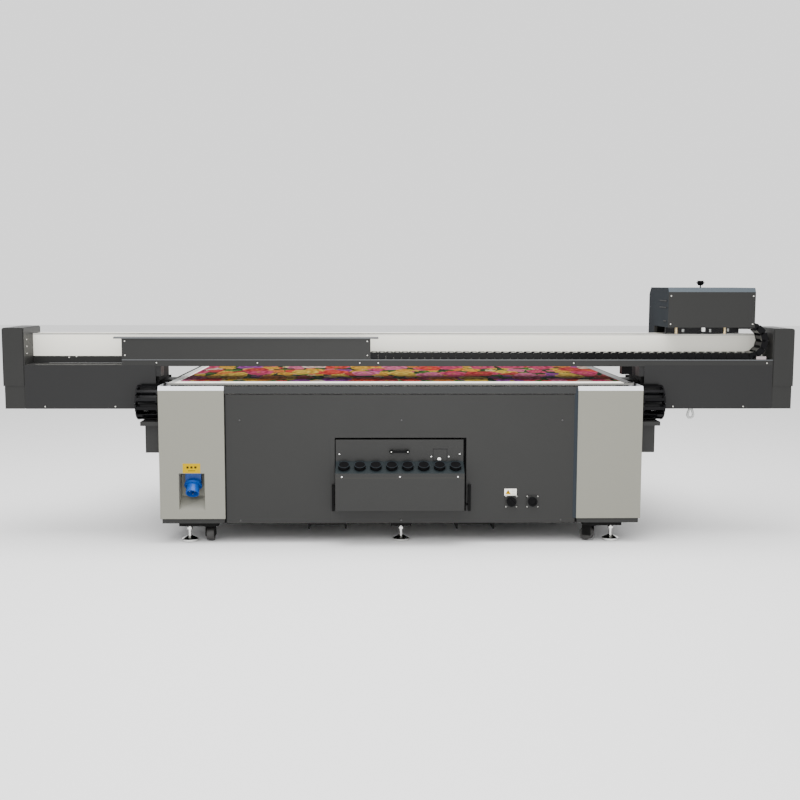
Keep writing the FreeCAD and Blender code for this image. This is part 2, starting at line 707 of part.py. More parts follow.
def wing_cover(label, side):
    """Folded panels round one wing; the trough in front of the beam is open at the top."""
    run = ("wing_inner", "wing_outer")
    back, front, skin = "gantry_back", "trough_front", "sheet_metal"
    pieces = [
        mirrored_box("wing_back", side, run, (back, f"{back} + {skin}"), ("wing_bottom", "wing_top")),
        mirrored_box("wing_floor", side, run, (f"{back} + {skin}", front), ("wing_bottom", f"wing_bottom + {skin}")),
        mirrored_box("wing_lid", side, run, (f"{back} + {skin}", -553), (f"wing_top - {skin}", "wing_top")),
        mirrored_box("wing_front", side, run, (f"{front} - {skin}", front), (f"wing_bottom + {skin}", 905)),
    ]
    for x in ((1561, 1966) if side > 0 else (-1622, -2018)):
        pieces.append(cylinder("wing_screw", 5, 2.5, (x, back, 763), TOWARDS_BACK))
    if side > 0:
        for x in LIFT_PINS:
            tube = cylinder("lift_bush", 10, 44, (x, -320, 753))
            pieces.append(cut("lift_guide", tube, cylinder("lift_bore", "6 + running_gap", 50, (x, -320, 752))))
    return sub_part(label, *pieces)


def end_caps():
    """Hollow end caps with a rounded top edge, each above an inset skirt."""
    pieces = []
    for side in (-1, 1):
        inner = "wing_outer + 6"
        body = new_body("end_cap")
        plane = f"{inner}" if side > 0 else "-cap_outer"
        corners = (("gantry_back", "cap_seam"), ("beam_front", "cap_seam"), ("beam_front", "cap_top"),
                   ("gantry_back", "cap_top"))
        raised = pad(body, outline(body, "YZ_Plane", plane, corners), "cap_outer - wing_outer - 6")
        doc.recompute()
        edge = edge_near(raised.Shape, x=side * size("cap_outer"), z=size("cap_top"))
        rounding = body.newObject("PartDesign::Fillet", unique("end_cap_round"))
        rounding.Base = (raised, [edge])
        rounding.Radius = 14
        room = (("gantry_back + 4", "cap_seam + 4"), ("beam_front - 4", "cap_seam + 4"), ("beam_front - 4", 1190),
                ("gantry_back + 4", 1190))
        low, high = (inner, "cap_outer - 8") if side > 0 else ("-cap_outer + 8", f"-({inner})")
        hollow_along_x(body, (f"({low}) - 1" if side > 0 else low, high if side > 0 else f"({high}) + 1"), room)
        skirt = mirrored_box("cap_skirt", side, (inner, "cap_outer - 6"), ("gantry_back + 4", "beam_front - 4"),
                             ("wing_bottom", "cap_seam"))
        void = mirrored_box("skirt_room", side, (f"{inner} - 1", "cap_outer - 10"),
                            ("gantry_back + 8", "beam_front - 8"), ("wing_bottom + 4", "cap_seam - 4"))
        pieces += [body, cut("cap_skirt_shell", skirt, void)]
    return sub_part("end_caps", *pieces)


def edge_near(shape, x, z):
    """The name of the edge along Y that lies at x and z."""
    for index, edge in enumerate(shape.Edges, start=1):
        centre = edge.BoundBox
        if abs(centre.Center.x - x) < 0.1 and abs(centre.Center.z - z) < 0.1 and centre.YLength > 10:
            return f"Edge{index}"
    raise ValueError("no such edge")


def centre_cover():
    """Grey cover over the left half of the chain channel, with a short folded top edge."""
    back = "gantry_back"
    body = prism_along_x("centre_cover_sheet", ("centre_left", "centre_right"), [
        (back, "tray_level"), (f"{back} + 3", "tray_level"), (f"{back} + 3", "centre_top - 3"),
        (f"{back} + 20", "centre_top - 3"), (f"{back} + 20", "centre_top"), (back, "centre_top")])
    screws = [cylinder("cover_screw", 5, 2.5, (x, back, z), TOWARDS_BACK)
              for x in (-1562, -192) for z in (1055, 1135)]
    return sub_part("centre_cover", body, *screws)


def x_chain_tray():
    """Tray under the cross chain, with a deep lip along the service side."""
    back = "gantry_back"
    run = ("centre_left", "wing_outer")
    skin = (back, f"{back} + 3")
    lip = fuse("cross_tray_lip", box("lip_between_wings", ("-wing_inner", "wing_inner"), skin,
                                     ("tray_level - tray_lip", "tray_level")),
               box("lip_above_wings", run, skin, ("wing_top", "tray_level")))
    pieces = [box("cross_tray_floor", run, (f"{back} + 3", "beam_back"), ("tray_level - 3", "tray_level")), lip]
    for x in (-1385, -815, -235, -130, 985, 2095):
        pieces.append(cylinder("tray_screw", 5, 2.5, (x, back, 1012), TOWARDS_BACK))
    pieces.append(cylinder("beam_screw", 5, 2.5, (-1880, "beam_back", 1035), TOWARDS_BACK))
    return sub_part("x_chain_tray", *pieces)


def wedge(plane, centre, inner, outer, middle_angle, half_angle, low, high):
    """One chain link on a bend: a four-sided block about the bend's centre, in the XZ or YZ plane."""
    corners = []
    for radius, offset in ((inner, -1), (outer, -1), (outer, 1), (inner, 1)):
        angle = math.radians(middle_angle + offset * half_angle)
        across = centre[0] + radius * math.cos(angle)
        up = centre[1] + radius * math.sin(angle)
        corners.append(Vector(across, low, up) if plane == "XZ" else Vector(low, across, up))
    face = Part.Face(Part.makePolygon(corners + corners[:1]))
    return face.extrude(Vector(0, high - low, 0) if plane == "XZ" else Vector(high - low, 0, 0))


def chain_feature(label, shapes):
    feature = doc.addObject("Part::Feature", label + "_links")
    feature.Shape = Part.makeCompound(shapes)
    return sub_part(label, doc_compound(label, feature))


LINKS_PER_BEND = 6
LINK_SWING = 180 / LINKS_PER_BEND
LINK_GAP = 1.0


def x_chain():
    """Cross energy chain: the run in the tray and the bend below the carriage."""
    outer, inner = size("chain_outer"), size("chain_inner")
    low, high = size("chain_back"), size("chain_front")
    level = size("tray_level") + 3 + outer
    bend_x = size("chain_bend_at")
    angles = [-90 + LINK_SWING * (index + 0.5) for index in range(LINKS_PER_BEND)]
    chain_feature("x_chain_bend", [wedge("XZ", (bend_x, level), inner, outer, angle, LINK_SWING / 2 - 0.6, low, high)
                                   for angle in angles])
    pitch = size("chain_pitch")
    count = int((bend_x - size("centre_right")) / pitch)
    links = [Part.makeBox(pitch - LINK_GAP, high - low, outer - inner,
                          Vector(bend_x - (index + 1) * pitch, low, level - outer)) for index in range(count)]
    chain_feature("x_chain_run", links)


def y_chains():
    """Side energy chains: the runs in the trays, and the bends behind the wings."""
    outer, inner = size("side_chain_outer"), size("side_chain_inner")
    centre = (size("side_chain_at"), size("side_chain_level") + 0.5)
    pitch = size("side_chain_pitch")
    count = int((size("side_chain_end") - centre[0]) / pitch)
    bends = []
    runs = []
    for side in (-1, 1):
        low, high = sorted((side * size("side_chain_in"), side * size("side_chain_out")))
        for index in range(LINKS_PER_BEND):
            angle = 90 + LINK_SWING * (index + 0.5)
            bends.append(wedge("YZ", centre, inner, outer, angle, LINK_SWING / 2 - 0.6, low, high))
        for index in range(count):
            corner = Vector(low, centre[0] + index * pitch, centre[1] - outer)
            runs.append(Part.makeBox(high - low, pitch - LINK_GAP, outer - inner, corner))
    chain_feature("y_chain_bends", bends)
    chain_feature("y_chain_runs", runs)


def y_travel_blocks():
    """Rail blocks, hangers and linear-motor coils that carry the gantry."""
    pieces = []
    seat_top = "ledge_top + rail_seat"
    for side in (-1, 1):
        for y in ((-650, -590), (-540, -480)):
            block = mirrored_box("rail_block", side, (1318, 1350), y, (864, 896))
            groove = mirrored_box("rail_groove", side,
                                  ("rail_middle - rail_wide / 2 - 0.1", "rail_middle + rail_wide / 2 + 0.1"),
                                  (y[0] - 1, y[1] + 1), (863, f"{seat_top} + rail_tall + 0.1"))
            pieces.append(cut("rail_block_cut", block, groove))
        pieces.append(mirrored_box("hanger", side, (1303, 1313), (-620, -500), (834, 896)))
        pieces.append(mirrored_box("motor_coil", side, (1250, 1303), (-620, -500), (834, 852)))
    return sub_part("y_travel_blocks", *pieces)


def cap_station():
    """Tray that rises to cap the print heads, on two guide pins."""
    pieces = [box("cap_tray", (1560, 1895), (-370, -262), (800, 880))]
    for x in LIFT_PINS:
        pieces.append(cylinder("lift_pin", 6, 44, (x, -320, 756)))
    return sub_part("cap_station", fuse("cap_station_solid", *pieces))


def drain_hose():
    """Stiff clear drain loop below the right wing."""
    radius, loop, level = 6, 24, 713
    middle = 1680
    legs = [cylinder("hose_leg", radius, f"wing_bottom - {level}", (middle + sign * loop, -660, level))
            for sign in (-1, 1)]
    ring = doc.addObject("Part::Torus", "hose_turn")
    ring.Radius1 = loop
    ring.Radius2 = radius
    ring.Angle3 = 180
    ring.Placement = FreeCAD.Placement(Vector(middle, -660, level), FreeCAD.Rotation(Vector(1, 0, 0), -90))
    return sub_part("drain_hose", fuse("hose", ring, *legs))


# ================================================================ carriage
KNOB_X = 1733                    # where the wing knob stands on the cover


def carriage_cover():
    """Sheet cover of the carriage: high over the beam, low in front of it, open below."""
    back, front, top = "carriage_back", "carriage_front", "carriage_top"
    low, apron = "carriage_bottom", "carriage_apron"
    step = -385
    roof = [(back, low), (back, f"{top} - 25"), (f"{back} + 15", top), (f"{front} - 40", top),
            (front, f"{top} - 40"), (front, low)]
    body = prism_along_x("carriage_shell", ("carriage_left", "carriage_right"), roof)
    skirt = outline(body, "YZ_Plane", "carriage_left", [(step, apron), (step, f"{low} + 1"), (front, f"{low} + 1"),
                                                        (front, apron)])
    pad(body, skirt, "carriage_body - carriage_left")
    inner_roof = [(f"{back} + 3", f"{low} - 1"), (f"{back} + 3", f"{top} - 26"), (f"{back} + 16.5", f"{top} - 3"),
                  (f"{front} - 41.5", f"{top} - 3"), (f"{front} - 3", f"{top} - 41.5"), (f"{front} - 3", f"{low} - 1")]
    hollow_along_x(body, ("carriage_body - 3", "carriage_right - 3"), inner_roof)
    hollow_along_x(body, ("carriage_left + 3", "carriage_body - 3"), [
        *inner_roof[:5], (f"{front} - 3", f"{apron} - 1"), (f"{step} + 3", f"{apron} - 1"),
        (f"{step} + 3", f"{low} - 1")])
    # the apron is open towards the beam, where the rail blocks pass through
    hollow_along_x(body, ("carriage_left + 18", "carriage_body - 18"), [
        (step - 1, 985), (step - 1, f"{low} + 1"), (step + 4, f"{low} + 1"), (step + 4, 985)])
    notch = [(f"{back} + 3", f"{low} - 1"), (f"{back} + 3", 1262), (-560, 1262), (-560, f"{low} - 1")]
    hollow_along_x(body, ("carriage_right - 4", "carriage_right + 1"), notch)
    hole = cylinder("knob_hole", "4 + running_gap", 20, (KNOB_X, -600, f"{top} - 10"))
    screws = [cylinder("carriage_screw", 5, 2.5, (x, back, z), TOWARDS_BACK)
              for x in ("carriage_left + 14", "carriage_right - 14") for z in (1234, 1394)]
    return sub_part("carriage_cover", cut("carriage_cover_cut", body, hole), *screws)


def carriage_frame():
    """Carriage plates, beam blocks, stand-offs, control boards, ink sub-tanks and chain bracket."""
    pieces = [
        box("top_plate", (1540, 1915), (-690, -300), (1214, 1222)),
        box("front_plate", (1540, 1910), (-372, -362), (1000, 1214)),
        box("chain_anchor", (1915, 2000), (-690, -575), (1214, 1222)),
        box("board_stack", (1560, 1880), (-600, -420), (1222, 1300)),
        box("sub_tanks", (1560, 1880), (-355, -305), (1222, 1330)),
        box("white_clip", (1732, 1750), (-664, -650), (1190, 1214)),
    ]
    for x in (1585, 1866):
        pieces.append(cylinder("stand_off", 8, 38, (x, -655, 1176)))
    for x in ((1560, 1630), (1820, 1890)):
        for low in RAIL_LEVELS:
            block = box("beam_block", x, ("beam_front + 2", -372), (low - 12, f"{low} + rail_tall + 12"))
            groove = box("beam_groove", (x[0] - 1, x[1] + 1), ("beam_front + 1", "beam_front + rail_tall + 0.1"),
                         (low - 0.1, f"{low} + rail_tall + 0.1"))
            pieces.append(cut("beam_block_cut", block, groove))
    return sub_part("carriage_frame", *pieces)


def print_heads():
    """Lifting head plate with two rows of heads and a curing lamp at each end."""
    pieces = [box("head_plate", (1545, 1905), (-357, -258), (1000, 1010))]
    for column in range(4):
        for line in range(2):
            x = 1606 + column * 62 + line * 20
            y = -352 + line * 48
            pieces.append(box("head", (x, x + 42), (y, y + 40), (932, 1000)))
    for x in (1548, 1868):
        pieces.append(box("curing_lamp", (x, x + 34), (-354, -262), (936, 1000)))
    return sub_part("print_heads", *pieces)


def cover_knob():
    """Wing knob on the carriage cover."""
    stem = cylinder("knob_stem", 4, 22, (KNOB_X, -600, "carriage_top - 7"))
    head = cone("knob_head", 12, 25, 18, (KNOB_X, -600, "carriage_top + 13"))
    tip = cylinder("knob_tip", 18, 9, (KNOB_X, -600, "carriage_top + 31"))
    return sub_part("cover_knob", fuse("knob", stem, head, tip))


# ================================================================ assembly
base_frame()
vacuum_table()
printed_board()
y_guideway()
long_panel("rear_panel", -1)
long_panel("front_panel", 1)
rear_left_cover()
sub_part("rear_right_cover", corner_cover("rear_right_cover", 1, -1))
sub_part("front_covers", corner_cover("front_left_cover", -1, 1), corner_cover("front_right_cover", 1, 1))
side_panels()
y_chain_trays()
under_brackets()
feet()
power_inlet()
control_bases()
panel_screws()
vacuum_blower()
electrics_box()
ink_box_hinges()
ink_box()
ink_tanks()
for number, cap_x in enumerate(CAP_SPOTS, start=1):
    ink_cap(number, cap_x)
ink_box_handle()
latch_knob()
switch_knob()
stop_button()
for corner_name, corner_side, corner_end, swivel in (("rear_left", -1, -1, 0), ("rear_right", 1, -1, 55),
                                                     ("front_left", -1, 1, 160), ("front_right", 1, 1, 200)):
    caster(corner_name, corner_side, corner_end, swivel)
gantry_beam()
gantry_frame()
wing_cover("left_wing_cover", -1)
wing_cover("right_wing_cover", 1)
end_caps()
centre_cover()
x_chain_tray()
x_chain()
y_chains()
y_travel_blocks()
cap_station()
drain_hose()
carriage_cover()
carriage_frame()
print_heads()
cover_knob()

doc.recompute()

# ---------------------------------------------------------------- checks and files
for item in doc.Objects:
    if "Invalid" in item.State or "Error" in item.State:
        raise ValueError(f"{item.Name} failed: {item.State}")
for whole in sub_parts:
    if whole.Shape.isNull() or not whole.Shape.isValid():
        raise ValueError(f"{whole.Label} has no valid shape")
for whole in sub_parts:
    whole.Shape.exportStep(f"parts/{whole.Label}.step")
    print(whole.Label, len(whole.Shape.Solids), round(whole.Shape.Volume / 1e6, 3))
print(len(sub_parts), "sub-parts")
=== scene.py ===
# %% [markdown]
# # A flatbed UV printer
# The machine is a long cabinet with a vacuum table on it. A gantry with side wings travels over
# the table, and a print carriage travels along the gantry. The solid model gives every part its
# size and place, so this lesson only gives the parts their looks: rounded sheet-metal edges,
# energy chains made of real links, screws, labels, cap rims, and a finish on each surface.

# %% Load the frame
import math
import bmesh
import bpy
from mathutils import Matrix, Vector


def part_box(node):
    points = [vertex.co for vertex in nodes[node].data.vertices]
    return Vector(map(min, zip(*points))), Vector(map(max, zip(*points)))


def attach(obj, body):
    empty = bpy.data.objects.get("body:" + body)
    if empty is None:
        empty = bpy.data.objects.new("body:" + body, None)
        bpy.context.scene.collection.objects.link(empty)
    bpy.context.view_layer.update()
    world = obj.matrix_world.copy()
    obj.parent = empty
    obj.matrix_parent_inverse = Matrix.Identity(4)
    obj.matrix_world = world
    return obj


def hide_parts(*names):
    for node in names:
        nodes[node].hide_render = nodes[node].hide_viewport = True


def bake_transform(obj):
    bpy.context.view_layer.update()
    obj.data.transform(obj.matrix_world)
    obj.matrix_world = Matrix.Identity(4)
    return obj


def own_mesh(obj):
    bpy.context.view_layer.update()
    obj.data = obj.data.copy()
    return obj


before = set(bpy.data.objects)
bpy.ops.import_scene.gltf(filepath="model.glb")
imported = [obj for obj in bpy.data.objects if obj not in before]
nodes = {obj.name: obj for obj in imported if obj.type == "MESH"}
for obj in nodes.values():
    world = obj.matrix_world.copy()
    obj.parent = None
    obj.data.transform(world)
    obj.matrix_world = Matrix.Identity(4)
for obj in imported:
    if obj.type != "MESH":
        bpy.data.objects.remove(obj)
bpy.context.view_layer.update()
scene = bpy.context.scene

# %% [markdown]
# ## Camera, floor and light
# A product shot of a machine this long is taken from about seven metres, a little above the
# beam and looking slightly down. The floor is a plain pale sheet. Broad soft lights from above
# and behind the camera show the paint's texture without hard shadows, and a low one fills in
# the skirt and the feet.

# %% Camera
CAMERA_PLACE = (-0.137, -6.934, 1.475)
CAMERA_PITCH = 6.17
CAMERA_YAW = 1.19
CAMERA_ROLL = -0.12
LENS = 49.5

camera_data = bpy.data.cameras.new("camera")
camera_data.lens = LENS
camera = bpy.data.objects.new("camera", camera_data)
scene.collection.objects.link(camera)
camera.location = CAMERA_PLACE
camera.rotation_euler = [math.radians(angle) for angle in (90 - CAMERA_PITCH, CAMERA_ROLL, -CAMERA_YAW)]
scene.camera = camera
print("camera at", CAMERA_PLACE)


# %% Floor and lights
def area_light(name, place, aim, size, power):
    """A soft square light at place, turned towards aim."""
    data = bpy.data.lights.new(name, "AREA")
    data.size = size
    data.energy = power
    lamp = bpy.data.objects.new(name, data)
    lamp.location = place
    lamp.rotation_euler = (Vector(aim) - Vector(place)).to_track_quat("-Z", "Y").to_euler()
    scene.collection.objects.link(lamp)
    return lamp


floor_mesh = bpy.data.meshes.new("floor")
FLOOR_HALF = 30
floor_mesh.from_pydata([(x, y, 0) for x, y in ((-1, -1), (1, -1), (1, 1), (-1, 1))], [], [(0, 1, 2, 3)])
floor_mesh.transform(Matrix.Scale(FLOOR_HALF, 4) @ Matrix.Translation((0, 0, -0.0001)))
floor = bpy.data.objects.new("floor", floor_mesh)
scene.collection.objects.link(floor)

world = bpy.data.worlds.new("studio")
world.use_nodes = True
world.node_tree.nodes["Background"].inputs["Color"].default_value = (1, 1, 1, 1)
world.node_tree.nodes["Background"].inputs["Strength"].default_value = 1.50
scene.world = world
area_light("key", (-1.5, -5.5, 5.0), (0, 0, 0.8), 4.0, 225)
area_light("low_fill", (0.3, -6.0, 0.75), (0, 0, 0.1), 3.0, 75)
area_light("top", (0.0, -0.9, 5.0), (0, -0.4, 0.9), 4.5, 420)


# %% [markdown]
# ## Shader sums as Python
# A finish is mostly arithmetic on noise and distance. A small class wraps a node's output, so
# that `mask * 0.5 + 0.1` adds its Math nodes by itself. Every other node comes from `add`, which
# takes the node's type, its settings and its inputs.

# %% The socket class
class Wire:
    """An output socket in a material, with arithmetic on it."""

    def __init__(self, tree, socket=None):
        self.tree = tree
        self.socket = socket

    def add(self, kind, settings=None, inputs=None, output=0):
        node = self.tree.nodes.new(kind)
        for name, value in (settings or {}).items():
            if name == "stops":
                set_stops(node.color_ramp, value)
            else:
                setattr(node, name, value)
        for name, value in (inputs or {}).items():
            self.plug(node.inputs[name], value)
        return Wire(self.tree, node.outputs[output])

    def plug(self, target, value):
        if isinstance(value, Wire):
            self.tree.links.new(value.socket, target)
        else:
            target.default_value = value

    def maths(self, operation, first, second=0.0):
        return self.add("ShaderNodeMath", {"operation": operation}, {0: first, 1: second})

    def fraction(self):
        return self.maths("FRACT", self)

    def __add__(self, other):
        return self.maths("ADD", self, other)

    def __sub__(self, other):
        return self.maths("SUBTRACT", self, other)

    def __mul__(self, other):
        return self.maths("MULTIPLY", self, other)

    def __gt__(self, other):
        return self.maths("GREATER_THAN", self, other)

    def __lt__(self, other):
        return self.maths("LESS_THAN", self, other)


def set_stops(ramp, stops):
    """Puts (place, colour) stops on a colour ramp."""
    while len(ramp.elements) > 1:
        ramp.elements.remove(ramp.elements[-1])
    for index, (place, colour) in enumerate(stops):
        element = ramp.elements[0] if index == 0 else ramp.elements.new(place)
        element.position = place
        element.color = (*colour, 1)


# %% Starting a material
def new_finish(name, roughness=0.5, metallic=0.0, colour=(0.5, 0.5, 0.5)):
    """A material, its shader node and a Wire for its tree."""
    material = bpy.data.materials.new(name)
    material.use_nodes = True
    shader = material.node_tree.nodes["Principled BSDF"]
    shader.inputs["Base Color"].default_value = (*colour, 1)
    shader.inputs["Roughness"].default_value = roughness
    shader.inputs["Metallic"].default_value = metallic
    return material, shader, Wire(material.node_tree)


def object_point(wire):
    """The point on the piece, in metres."""
    return wire.add("ShaderNodeTexCoord", output="Object")


def noise(wire, point, scale, detail=3.0, roughness=0.5):
    return wire.add("ShaderNodeTexNoise", None,
                    {"Vector": point, "Scale": scale, "Detail": detail, "Roughness": roughness}, "Fac")


def mix_colour(wire, factor, first, second, blend="MIX"):
    """Mixes two colours; a colour is a Wire or three numbers."""
    def full(colour):
        return colour if isinstance(colour, Wire) else (*colour, 1)
    return wire.add("ShaderNodeMix", {"data_type": "RGBA", "blend_type": blend},
                    {0: factor, 6: full(first), 7: full(second)}, 2)


def surface(wire, shader, colour, roughness, height, distance):
    """Drives a shader's colour, its roughness and its bump, whose height is distance metres."""
    wire.plug(shader.inputs["Base Color"], colour)
    wire.plug(shader.inputs["Roughness"], roughness)
    normal = wire.add("ShaderNodeBump", None, {"Height": height, "Distance": distance, "Strength": 1.0})
    wire.plug(shader.inputs["Normal"], normal)


print("shader helpers ready")


# %% [markdown]
# ## Finishes
# The panels are powder coated: a fine orange-peel texture with a soft sheen and slight changes
# of shade from panel to panel. The beam is smooth paint, the chains and the caps are moulded
# plastic, and the feet and screws are plated.

# %% Powder coat
def powder_coat(name, colour, roughness=0.42, grain=900.0, peel=0.00008, shade=0.12, coat=0.0, gloss=0.25):
    """Sprayed powder coat: soft shade changes, fine orange peel and faint dust in the gloss."""
    material, shader, wire = new_finish(name, roughness)
    point = object_point(wire)
    broad = noise(wire, point, 1.3, 2.0)
    speck = noise(wire, point, grain * 0.35, 2.0)
    tone = (broad - 0.5) * shade + (speck - 0.5) * shade * 0.35 + 0.5
    dark = tuple(channel * 0.82 for channel in colour)
    light = tuple(min(1.0, channel * 1.18) for channel in colour)
    surface(wire, shader, mix_colour(wire, tone, dark, light),
            noise(wire, point, 5.0, 4.0) * 0.12 + (roughness - 0.06), noise(wire, point, grain, 2.0), peel)
    shader.inputs["Coat Weight"].default_value = coat
    shader.inputs["Specular IOR Level"].default_value = gloss
    return material


DARK_GREY = (0.0162, 0.0162, 0.0155)
dark_coat = powder_coat("dark_grey_coat", DARK_GREY)
wing_coat = powder_coat("wing_coat", (0.0146, 0.0146, 0.0148), gloss=0.2)
light_coat = powder_coat("light_grey_coat", (0.190, 0.188, 0.158), 0.36, shade=0.10)
BEVEL_HIGHLIGHT_FROM = 0.8675
cream_coat = powder_coat("cream_coat", (0.84, 0.81, 0.73), 0.34, grain=400.0, peel=0.00003, shade=0.05)
black_coat = powder_coat("black_coat", (0.0042, 0.0042, 0.0042), 0.5, gloss=0.06)
enamel = powder_coat("blower_enamel", (0.33, 0.35, 0.37), 0.32, grain=300.0)
print("coats:", dark_coat.name, light_coat.name, cream_coat.name, black_coat.name)


# %% Moulded plastic and rubber
def moulded(name, colour, roughness=0.3, texture=0.00006, grain=700.0, coat=0.0, alpha=1.0, gloss=0.5):
    """Moulded plastic: one colour with faint flow marks, a spark-eroded texture and soft smears."""
    material, shader, wire = new_finish(name, roughness)
    point = object_point(wire)
    flow = noise(wire, point, 14.0, 3.0)
    pale = tuple(min(1.0, channel * 1.35 + 0.0006) for channel in colour)
    smears = noise(wire, point, 40.0, 3.0) * 0.18 + (roughness - 0.09)
    pits = noise(wire, point, grain, 1.0)
    surface(wire, shader, mix_colour(wire, flow, colour, pale), smears, pits, texture)
    shader.inputs["Coat Weight"].default_value = coat
    shader.inputs["Alpha"].default_value = alpha
    shader.inputs["Specular IOR Level"].default_value = gloss
    return material


chain_black = moulded("chain_black", (0.0030, 0.0030, 0.0034), 0.14, gloss=0.10)
black_plastic = moulded("black_plastic", (0.0030, 0.0030, 0.0034), 0.34, gloss=0.05)
inlet_blue = moulded("inlet_blue", (0.002, 0.050, 0.260), 0.28, gloss=0.3)
inlet_grey = moulded("inlet_grey", (0.30, 0.31, 0.30), 0.42, gloss=0.3)
rubber = moulded("caster_rubber", (0.020, 0.019, 0.018), 0.62, 0.00015, 300.0)
tank_plastic = moulded("tank_plastic", (0.70, 0.70, 0.66), 0.40)
stop_red = moulded("stop_red", (0.55, 0.012, 0.010), 0.25, coat=0.3)
stop_yellow = moulded("stop_yellow", (0.60, 0.38, 0.005), 0.35)
hose_clear = moulded("hose_clear", (0.42, 0.43, 0.42), 0.15, coat=0.6, alpha=0.72)
white_plastic = moulded("white_plastic", (0.80, 0.80, 0.77), 0.35)
print("mouldings ready")


# %% Metals
def metal(name, colour, roughness, streaks=(1.0, 1.0, 1.0), scratch=0.00002):
    """Bare or plated metal; streaks stretches the scratches along an axis."""
    material, shader, wire = new_finish(name, roughness, 1.0)
    point = object_point(wire)
    stretched = wire.add("ShaderNodeMapping", None, {"Vector": point, "Scale": streaks})
    marks = noise(wire, stretched, 160.0, 4.0)
    dull = tuple(channel * 0.78 for channel in colour)
    gloss = marks * 0.22 + (roughness - 0.08)
    surface(wire, shader, mix_colour(wire, marks, dull, colour), gloss, marks, scratch)
    return material


plated = metal("bright_plate", (0.82, 0.82, 0.80), 0.14)
zinc = metal("zinc_plate", (0.78, 0.77, 0.72), 0.26)
ground = metal("ground_rail", (0.62, 0.62, 0.64), 0.25, (0.05, 0.05, 1.0))
dark_screw = metal("blackened_screw", (0.10, 0.10, 0.10), 0.35)
brass = metal("brass", (0.62, 0.50, 0.30), 0.30)
head_plate = metal("etched_head_plate", (0.45, 0.45, 0.47), 0.32, (1.0, 0.08, 1.0))
print("metals ready")


# %% [markdown]
# ## Painting the solid parts
# One part of the model can hold several solids, such as a cover and its screws. The helper
# groups a part's faces by the solid that they belong to, so that small solids can take
# another finish. A weld and a narrow bevel round the sheet-metal edges.

# %% Finding the solids in a part
def solids_of(thing):
    """Lists (face indices, low corner, high corner) for each solid in the mesh."""
    mesh = thing.data
    owner = {}
    links = list(range(len(mesh.vertices)))

    def root(index):
        while links[index] != index:
            links[index] = links[links[index]]
            index = links[index]
        return index

    for vertex in mesh.vertices:
        key = tuple(round(value, 5) for value in vertex.co)
        links[vertex.index] = owner.setdefault(key, vertex.index)
    for face in mesh.polygons:
        first = root(face.vertices[0])
        for other in face.vertices[1:]:
            links[root(other)] = first
    groups = {}
    for face in mesh.polygons:
        groups.setdefault(root(face.vertices[0]), []).append(face.index)
    result = []
    for faces in groups.values():
        points = [mesh.vertices[i].co for f in faces for i in mesh.polygons[f].vertices]
        low = Vector([min(p[axis] for p in points) for axis in range(3)])
        high = Vector([max(p[axis] for p in points) for axis in range(3)])
        result.append((faces, low, high))
    return result


# %% Dressing and repainting
def dress(name, main, *rules):
    """Gives a part its finish; each rule is (finish, test of a solid's low and high corners)."""
    thing = nodes[name]
    thing.data.materials.clear()
    thing.data.materials.append(main)
    for finish, _ in rules:
        thing.data.materials.append(finish)
    for face in thing.data.polygons:
        face.material_index = 0
    for faces, low, high in solids_of(thing) if rules else ():
        for index, (_, test) in enumerate(rules):
            if test(low, high):
                for face in faces:
                    thing.data.polygons[face].material_index = index + 1
                break
    return thing


def repaint(thing, finish, test):
    """Gives a finish to the faces for which test(centre, normal) holds."""
    thing.data.materials.append(finish)
    slot_number = len(thing.data.materials) - 1
    for face in thing.data.polygons:
        if test(face.center, face.normal):
            face.material_index = slot_number
    return thing


def tiny(low, high):
    """A screw or another small fastener."""
    return max(high - low) < 0.03


print("solids in the ink box:", len(solids_of(nodes["ink_box"])))


# %% Rounding edges
def round_edges(name, width=0.0015, angle=40, segments=2):
    """A weld and a bevel on a part, with its faces shaded flat apart from the bevel."""
    thing = nodes[name]
    weld = thing.modifiers.new("weld", "WELD")
    weld.merge_threshold = 0.00002
    edge = thing.modifiers.new("edge", "BEVEL")
    edge.width = width
    edge.segments = segments
    edge.limit_method = "ANGLE"
    edge.angle_limit = math.radians(angle)
    edge.harden_normals = True
    edge.use_clamp_overlap = True
    return thing


for sheet_part in ("rear_panel", "front_panel", "side_panels", "rear_left_cover", "rear_right_cover",
                   "front_covers", "left_wing_cover", "right_wing_cover", "centre_cover", "x_chain_tray",
                   "ink_box", "gantry_beam", "carriage_cover", "end_caps", "y_chain_trays"):
    round_edges(sheet_part)
for heavy_part in ("vacuum_table", "gantry_frame", "carriage_frame", "under_brackets", "ink_box_handle"):
    round_edges(heavy_part, 0.001)
print("rounded parts:", sum(1 for thing in nodes.values() if thing.modifiers))


# %% [markdown]
# ## Finishes that change over a part
# The rear panel has a seam, and the beam has a thin grey line where its lid meets its back.
# The table is drilled with rows of suction holes. Some bands are painted light and shade: a painted
# highlight on the covers' top bevel, on the carriage's roof and along a fold of the ink box, and painted
# shade in the inlet recess and on the table's front face. Each of these is a band or a grid worked out
# from the point on the piece.

# %% Bands and grids
def split(wire, point):
    """The three axes of a point as Wires."""
    parts = wire.add("ShaderNodeSeparateXYZ", None, {0: point})
    node = parts.socket.node
    return [Wire(wire.tree, node.outputs[axis]) for axis in range(3)]


def band(value, middle, half):
    """1 where value is within half of middle."""
    return value.add("ShaderNodeMath", {"operation": "COMPARE"}, {0: value, 1: middle, 2: half})


def base_colour(wire, shader):
    """Whatever drives the base colour now, as a Wire."""
    return Wire(wire.tree, shader.inputs["Base Color"].links[0].from_socket)


def tint(material, mask_of, colour, amount=1.0):
    """Mixes a colour in where mask_of(x, y, z) is 1."""
    wire = Wire(material.node_tree)
    shader = material.node_tree.nodes["Principled BSDF"]
    x, y, z = split(wire, object_point(wire))
    mask = mask_of(x, y, z) * amount
    wire.plug(shader.inputs["Base Color"], mix_colour(wire, mask, base_colour(wire, shader), colour))
    return material


print("band helpers ready")
